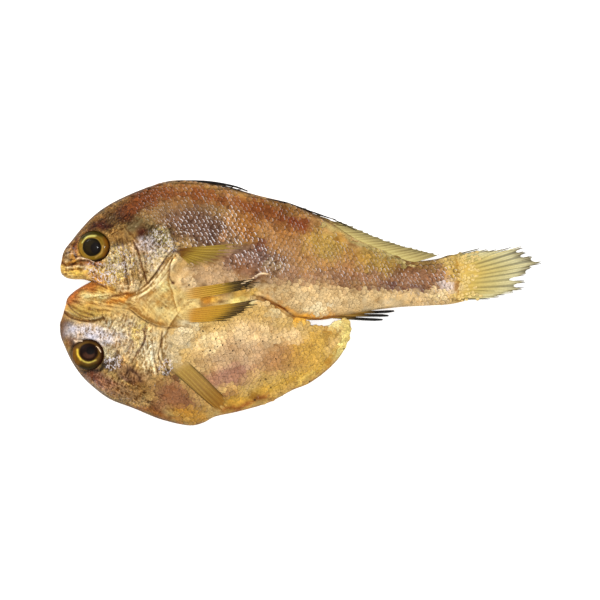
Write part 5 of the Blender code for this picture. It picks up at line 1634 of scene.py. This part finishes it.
def lay_scales(name, kind, halves, chosen):
    """One piece of scales of one kind, over the parts of both halves that the chosen rule keeps."""
    rows = [scale_rows(grid, stands, kind["along"], kind["across"]) for grid, stands in halves]
    is_flap = np.concatenate([np.full(len(row[0]), float(k)) for k, row in enumerate(rows)])
    place, aim, out, crest = (np.concatenate([row[k] for row in rows]) for k in range(4))
    crest = crest[:, 0]
    rng = np.random.default_rng(kind["seed"])
    bend = np.column_stack([wander(place[:, :2], 7.0, 35), wander(place[:, :2], 7.0, 36)])
    place[:, :2] += 0.8 * bend + rng.normal(0, 0.18, (len(place), 2))
    keep = chosen(place[:, :2]) & ~under_fin(place[:, :2]) & (rng.random(len(place)) > 0.03)
    for centre, radii in SOCKETS.values():
        keep &= np.linalg.norm((place[:, :2] - centre) / (np.array(radii) + 1.6), axis=1) > 1
    place, aim, out, crest, is_flap = (values[keep] for values in (place, aim, out, crest, is_flap))
    few = rng.random(len(place)) < 1 - 0.8 * ease((place[:, 0] - TAIL_THINS[0]) / TAIL_THINS[1])
    place, aim, out, crest, is_flap = (values[few] for values in (place, aim, out, crest, is_flap))
    if kind is BODY_SCALE:
        last = tail_root_scales(rng)
        place = np.vstack([place, last])
        aim = np.vstack([aim, np.tile((1.0, 0.02, -0.05), (len(last), 1))])
        out = np.vstack([out, np.tile((0.05, 0.0, 1.0), (len(last), 1))])
        crest = np.concatenate([crest, np.zeros(len(last))])
        is_flap = np.concatenate([is_flap, np.zeros(len(last))])
    sparse = ease((place[:, 0] - TAIL_PALES[0]) / TAIL_PALES[1])
    mesh = bpy.data.meshes.new(name)
    mesh.from_pydata((place * MM).tolist(), [], [])
    pale = share_of(HIGHLIGHTED_EDGES, place[:, :2], 0.45) * (1 - 0.5 * is_flap)
    pale *= 1 - 0.6 * share_of(SMOOTH_BELLY, place[:, :2])
    nearby = place[:, :2] + rng.normal(0, 0.9, (len(place), 2)) * (1 - 0.5 * is_flap)[:, None]
    # The scales take a weaker share of the skin's painted light on crests and painted shade in hollows.
    tones = shaded(skin_tones(nearby, is_flap, 0.4, EDGE_SHADE_LINES), 0.6 * crest)
    tones *= 1 + rng.normal(0, 0.035, len(place))[:, None] * (1 - 0.5 * is_flap)[:, None]
    towards(tones, PALE_GOLD_SCALE, 0.7 * sparse)
    # painted glints on the free edges
    glint = rng.random(len(place)) ** 0.9 * np.clip(pale + 0.1, 0, 1) * (1 - 0.75 * sparse)
    fade = ease((place[:, 0] - TAIL_FADE[0]) / (TAIL_FADE[1] - TAIL_FADE[0]))
    size = rng.normal(1, 0.06, len(place)) * (1 - 0.45 * fade) * (1 + 0.12 * is_flap)
    pale *= rng.uniform(0.6, 1.1, len(place)) * (1 - sparse)
    store(mesh, aim=aim, out=out, size=size, mirror=1 - 2 * is_flap, pale=pale, glint=glint)
    store(mesh, tone=np.clip(tones, 0, 1))
    piece = apply_group(
        linked(name, mesh), scale_nodes, Length=kind["length"] * MM, Width=kind["width"] * MM,
        Thickness=kind["thick"] * MM, Curl=kind["curl"] * MM, Tilt=kind["tilt"], Corners=SCALE_CORNERS,
        Seed=kind["seed"], Material=dried_scale,
    )
    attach(piece, "root")
    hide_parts("croaker")


def tail_root_scales(rng):
    """Places of the last, ever smaller and scarcer scales, on the root of the tail fin."""
    x, y = np.meshgrid(np.arange(*TAIL_ROOT[0], 1.5), np.arange(*TAIL_ROOT[1], 1.35), indexing="ij")
    y[::2] += 0.68
    xy = np.column_stack([x.ravel(), y.ravel()]) + rng.normal(0, 0.45, (x.size, 2))
    xy = xy[rng.random(len(xy)) > (xy[:, 0] - TAIL_ROOT[0][0]) / (TAIL_ROOT[0][1] - TAIL_ROOT[0][0])]
    z = []
    for x, y in xy:
        z.append(max(height_at(x, y), height_at(x, y, tail_tree)))
    place = np.column_stack([xy, np.array(z) + 0.05])
    return place[place[:, 2] > 1]


def dark_flecks():
    """One piece of small dark flecks, each lying on the skin at its own turn."""
    rng = np.random.default_rng(FLECK["seed"])
    place = np.array([(x, y, height_at(x, y) + 0.2) for x, y in SPECKS])
    turn = rng.uniform(0, math.pi, len(place))
    mesh = bpy.data.meshes.new("dark_flecks")
    mesh.from_pydata((place * MM).tolist(), [], [])
    none = np.zeros(len(place))
    store(mesh, aim=np.column_stack([np.cos(turn), np.sin(turn), none]), out=np.tile(UP, (len(place), 1)))
    store(mesh, size=rng.uniform(0.5, 1.2, len(place)), pale=none, glint=none, mirror=none)
    store(mesh, tone=np.tile(linear(FLECK["tone"]), (len(place), 1)))
    piece = apply_group(
        linked("dark_flecks", mesh), scale_nodes, Length=FLECK["length"] * MM, Width=FLECK["width"] * MM,
        Thickness=FLECK["thick"] * MM, Curl=0.0, Tilt=0.0, Corners=SCALE_CORNERS, Seed=FLECK["seed"],
        Material=dried_scale,
    )
    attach(piece, "root")
    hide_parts("croaker")


def has_body_scales(xy):
    return (xy[:, 0] > HEAD_END) & ~covered(xy, BARE)


def has_head_scales(xy):
    return (xy[:, 0] <= HEAD_END) & covered(xy, SCALED_HEAD) & ~covered(xy, BARE)


tail_tree = BVHTree.FromObject(bpy.data.objects["tail_fin"], bpy.context.evaluated_depsgraph_get())
scale_nodes = scale_group()
dried_scale = scale_material()
both_halves = ((upper_skin, upper_stands), (lower_skin, lower_stands))
lay_scales("body_scales", BODY_SCALE, both_halves, has_body_scales)
lay_scales("head_scales", HEAD_SCALE, both_halves, has_head_scales)
dark_flecks()

# ------------------------------------------------------------------------------------ eyes
# Two shrunken eyes set in their sockets, the upper one a little glassy and the lower one dull: a golden
# ring, a thin pale ring, a brown iris and the pupil.
EYE_RINGS = 40
EYE_SEGMENTS = 96
# Rings from the outside in: middle and half-lengths from the eye's own middle, softness, colour. The arcs
# lie between the second ring and the third.
EYES = {
    "eye_upper": dict(
        ground=(122, 90, 16), gloss=0.06,
        rings=(
            ((0, 0), (8.6, 8.1), 0.3, (44, 22, 8)),
            ((-0.45, 0.3), (7, 6.7), 0.16, (122, 92, 14)),
            ((-1.1, -0.3), (4.9, 4.8), 0.06, (150, 118, 44)),
            ((-1.1, -0.3), (4.5, 4.45), 0.12, (24, 16, 2)),
            ((-2, 0.1), (2.3, 2.8), 0.9, (40, 30, 6)),
            ((0.95, -0.85), (2.6, 2.7), 0.3, (14, 6, 4)),
        ),
        arcs=(
            ([(5.2, 3.8), (6.3, -0.4), (4.8, -4.4)], 1.3, (118, 70, 8), 0.9),
            ([(-6.6, 0.6), (-6, -3.4), (-3, -5.6)], 1.3, (164, 122, 34), 0.6),
            ([(-5.6, 4.2), (-1.4, 6.5), (3.8, 5.4)], 1.3, (46, 42, 6), 0.95),
            ([(-5.6, 1.8), (-3, 4.7), (0.8, 5.1)], 0.4, (214, 206, 112), 0.95),
            ([(0.8, 5.1), (3.4, 3.6), (4.3, 0.6)], 0.35, (136, 106, 36), 0.6),
            ([(4.2, 0.4), (3.4, -3), (0.6, -5.2)], 0.4, (206, 160, 80), 0.7),
            ([(1.4, -6.8), (5.2, -5.2), (7.3, -1)], 0.7, (30, 8, 2), 0.95),
            ([(4.4, 5.8), (6.6, 3.2), (7.5, 0)], 0.6, (30, 8, 2), 0.9),
        )),
    "eye_lower": dict(
        ground=(84, 54, 12), gloss=0,
        rings=(
            ((0, 0), (8.6, 8.1), 0.3, (42, 20, 8)),
            ((-0.4, -0.2), (6.9, 6.4), 0.3, (98, 68, 18)),
            ((0.4, 1.1), (4.7, 4.5), 0.1, (70, 46, 14)),
            ((0.4, 1.2), (4.25, 4.1), 0.14, (26, 10, 5)),
            ((0.5, -0.4), (2.6, 1.6), 0.8, (70, 40, 24)),
            ((1.3, 1.9), (2, 2), 0.4, (8, 2, 2)),
        ),
        arcs=(
            ([(-6.6, 2.2), (-6.6, -1.6), (-4.6, -4.6)], 1.4, (124, 78, 20), 0.7),
            ([(-3.4, -5.6), (0.4, -6.4), (3.8, -5.2)], 1.3, (44, 34, 8), 0.9),
            ([(6.6, 2.6), (7, -1.6), (5.4, -4.6)], 1.4, (46, 18, 6), 0.9),
            ([(-5, 2.2), (-4.8, -0.2), (-3.5, -2.4)], 0.5, (246, 206, 70), 0.95),
            ([(-3.5, -2.4), (0.2, -3.9), (3.8, -2.6)], 0.38, (216, 192, 88), 0.9),
            ([(3.8, -2.6), (5.2, -0.2), (5.2, 2.6)], 0.3, (130, 92, 30), 0.6),
        )),
}


def eye_tones(xy, eye):
    """Colours of an eye, seen from above."""
    tone = np.tile(linear(eye["ground"]), (len(xy), 1))
    warped = xy + 0.1 * np.column_stack([wander(xy, 2.0, 41), wander(xy, 2.0, 42)])
    rings = eye["rings"]
    for centre, radii, soft, colour in rings[:2]:
        towards(tone, colour, patch_share(warped, centre, radii, 0, soft))
    for line, width, colour, strength in eye["arcs"]:
        distance, _ = nearest(warped, spaced(smooth_line(line), 16))
        towards(tone, colour, strength * np.exp(-((distance / width) ** 2)))
    for centre, radii, soft, colour in rings[2:]:
        towards(tone, colour, patch_share(warped, centre, radii, 0, soft))
    return tone * (1 + 0.14 * wander(xy, 0.9, 43) + 0.12 * wander(xy, 0.5, 44))[:, None]


def eye_material(name, gloss):
    """A dried eye under its shrunken clear skin, which is dull on the lower eye."""
    material, tree, shader = new_material(name)
    tone = tree.stored("tone", "Color")
    grain = tree.noise(1.4, 3.0, 0.5)
    finish_shader(
        tree, shader, Base_Color=tone, Roughness=0.5, Normal=tree.bump(0.25, 0.2, grain), Coat_Weight=gloss,
        Coat_Roughness=0.06, Specular_IOR_Level=0.06,
    )
    return material


def eyeball(name, node, eye):
    """A flattened ball with a raised iris, as large as its node."""
    low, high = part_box(node)
    centre = np.array((low + high) / 2) / MM
    radii = np.array(high - low) / 2 / MM
    spread = [*np.linspace(0, 1, EYE_RINGS + 1)[1:], 0.85, 0.6, 0.3]
    turn = np.linspace(0, 2 * np.pi, EYE_SEGMENTS, endpoint=False)
    points, faces = [(0, 0, 1)], []
    for ring, out in enumerate(spread):
        rise = math.sqrt(1 - out * out) * (1 if ring < EYE_RINGS else -1)
        points += [(out * math.cos(a), out * math.sin(a), rise) for a in turn]
    points.append((0, 0, -1))
    for k in range(EYE_SEGMENTS):
        n = (k + 1) % EYE_SEGMENTS
        faces.append((0, 1 + k, 1 + n))
        for ring in range(len(spread) - 1):
            a = 1 + ring * EYE_SEGMENTS
            faces.append((a + k, a + EYE_SEGMENTS + k, a + EYE_SEGMENTS + n, a + n))
        last = 1 + (len(spread) - 1) * EYE_SEGMENTS
        faces.append((len(points) - 1, last + n, last + k))
    unit = np.array(points)
    local = unit * radii
    iris, iris_radii = eye["rings"][3][:2]
    out = np.linalg.norm((local[:, :2] - iris) / iris_radii, axis=1)
    dome = 0.5 * ease((1.2 - out) / 0.5) - 0.25 * np.exp(-(((out - 1.25) / 0.16) ** 2))
    local[:, 2] += np.clip(unit[:, 2], 0, 1) * dome
    mesh = bpy.data.meshes.new(name)
    mesh.from_pydata(((local + centre) * MM).tolist(), [], faces)
    mesh.shade_smooth()
    store(mesh, tone=eye_tones(local[:, :2], eye))
    mesh.materials.append(eye_material("dried_" + node, eye["gloss"]))
    return linked(name, mesh)


for eye_name, eye in EYES.items():
    ball = eyeball(eye_name + "_ball", eye_name, eye)
    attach(ball, "root")
    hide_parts(eye_name)

# ------------------------------------------------------------------------------------ camera and light
# The photograph looks straight down on the fish from well above it, in even white light.
FRAME_WIDTH = 288.0  # millimetres across the picture at the fish's middle height
MIDDLE_HEIGHT = 6
CAMERA_HEIGHT = 1206.0
SENSOR_WIDTH = 36.0
camera_data = bpy.data.cameras.new("camera")
camera_data.sensor_width = SENSOR_WIDTH
camera_data.lens = SENSOR_WIDTH * (CAMERA_HEIGHT - MIDDLE_HEIGHT) / FRAME_WIDTH
camera = bpy.data.objects.new("camera", camera_data)
camera.location = (-0.24 * MM, 1.2 * MM, CAMERA_HEIGHT * MM)
bpy.context.scene.collection.objects.link(camera)
bpy.context.scene.camera = camera
bpy.context.scene.view_settings.view_transform = "Standard"

floor_mesh = bpy.data.meshes.new("floor")
floor_mesh.from_pydata([(-3, -3, 0), (3, -3, 0), (3, 3, 0), (-3, 3, 0)], [], [(0, 1, 2, 3)])
paper, paper_tree, paper_shader = new_material("floor_paper")
finish_shader(paper_tree, paper_shader, Base_Color=(0.93, 0.93, 0.93), Roughness=0.9)
finish_shader(paper_tree, paper_shader, Emission_Color=(1.0, 1.0, 1.0), Emission_Strength=0.25)
floor_mesh.materials.append(paper)
floor = linked("floor", floor_mesh)
floor.location.z = -0.2 * MM

SKY_COLOUR = (1.0, 0.985, 0.955, 1)
SKY_STRENGTH = 0.62
world = bpy.data.worlds.new("soft_light")
world.use_nodes = True
world.node_tree.nodes["Background"].inputs["Color"].default_value = SKY_COLOUR
world.node_tree.nodes["Background"].inputs["Strength"].default_value = SKY_STRENGTH
bpy.context.scene.world = world


def soft_box(name, place, size, power):
    """A square lamp that faces the fish's middle. Sizes in metres."""
    lamp = bpy.data.lights.new(name, "AREA")
    lamp.size = size
    lamp.energy = power
    made = bpy.data.objects.new(name, lamp)
    made.location = place
    made.rotation_euler = (-Vector(place)).to_track_quat("-Z", "Y").to_euler()
    bpy.context.scene.collection.objects.link(made)


soft_box("flash", (0.10, -0.02, 1.3), 0.12, 9.0)
soft_box("side", (-0.75, 0.8, 0.8), 0.4, 9.0)
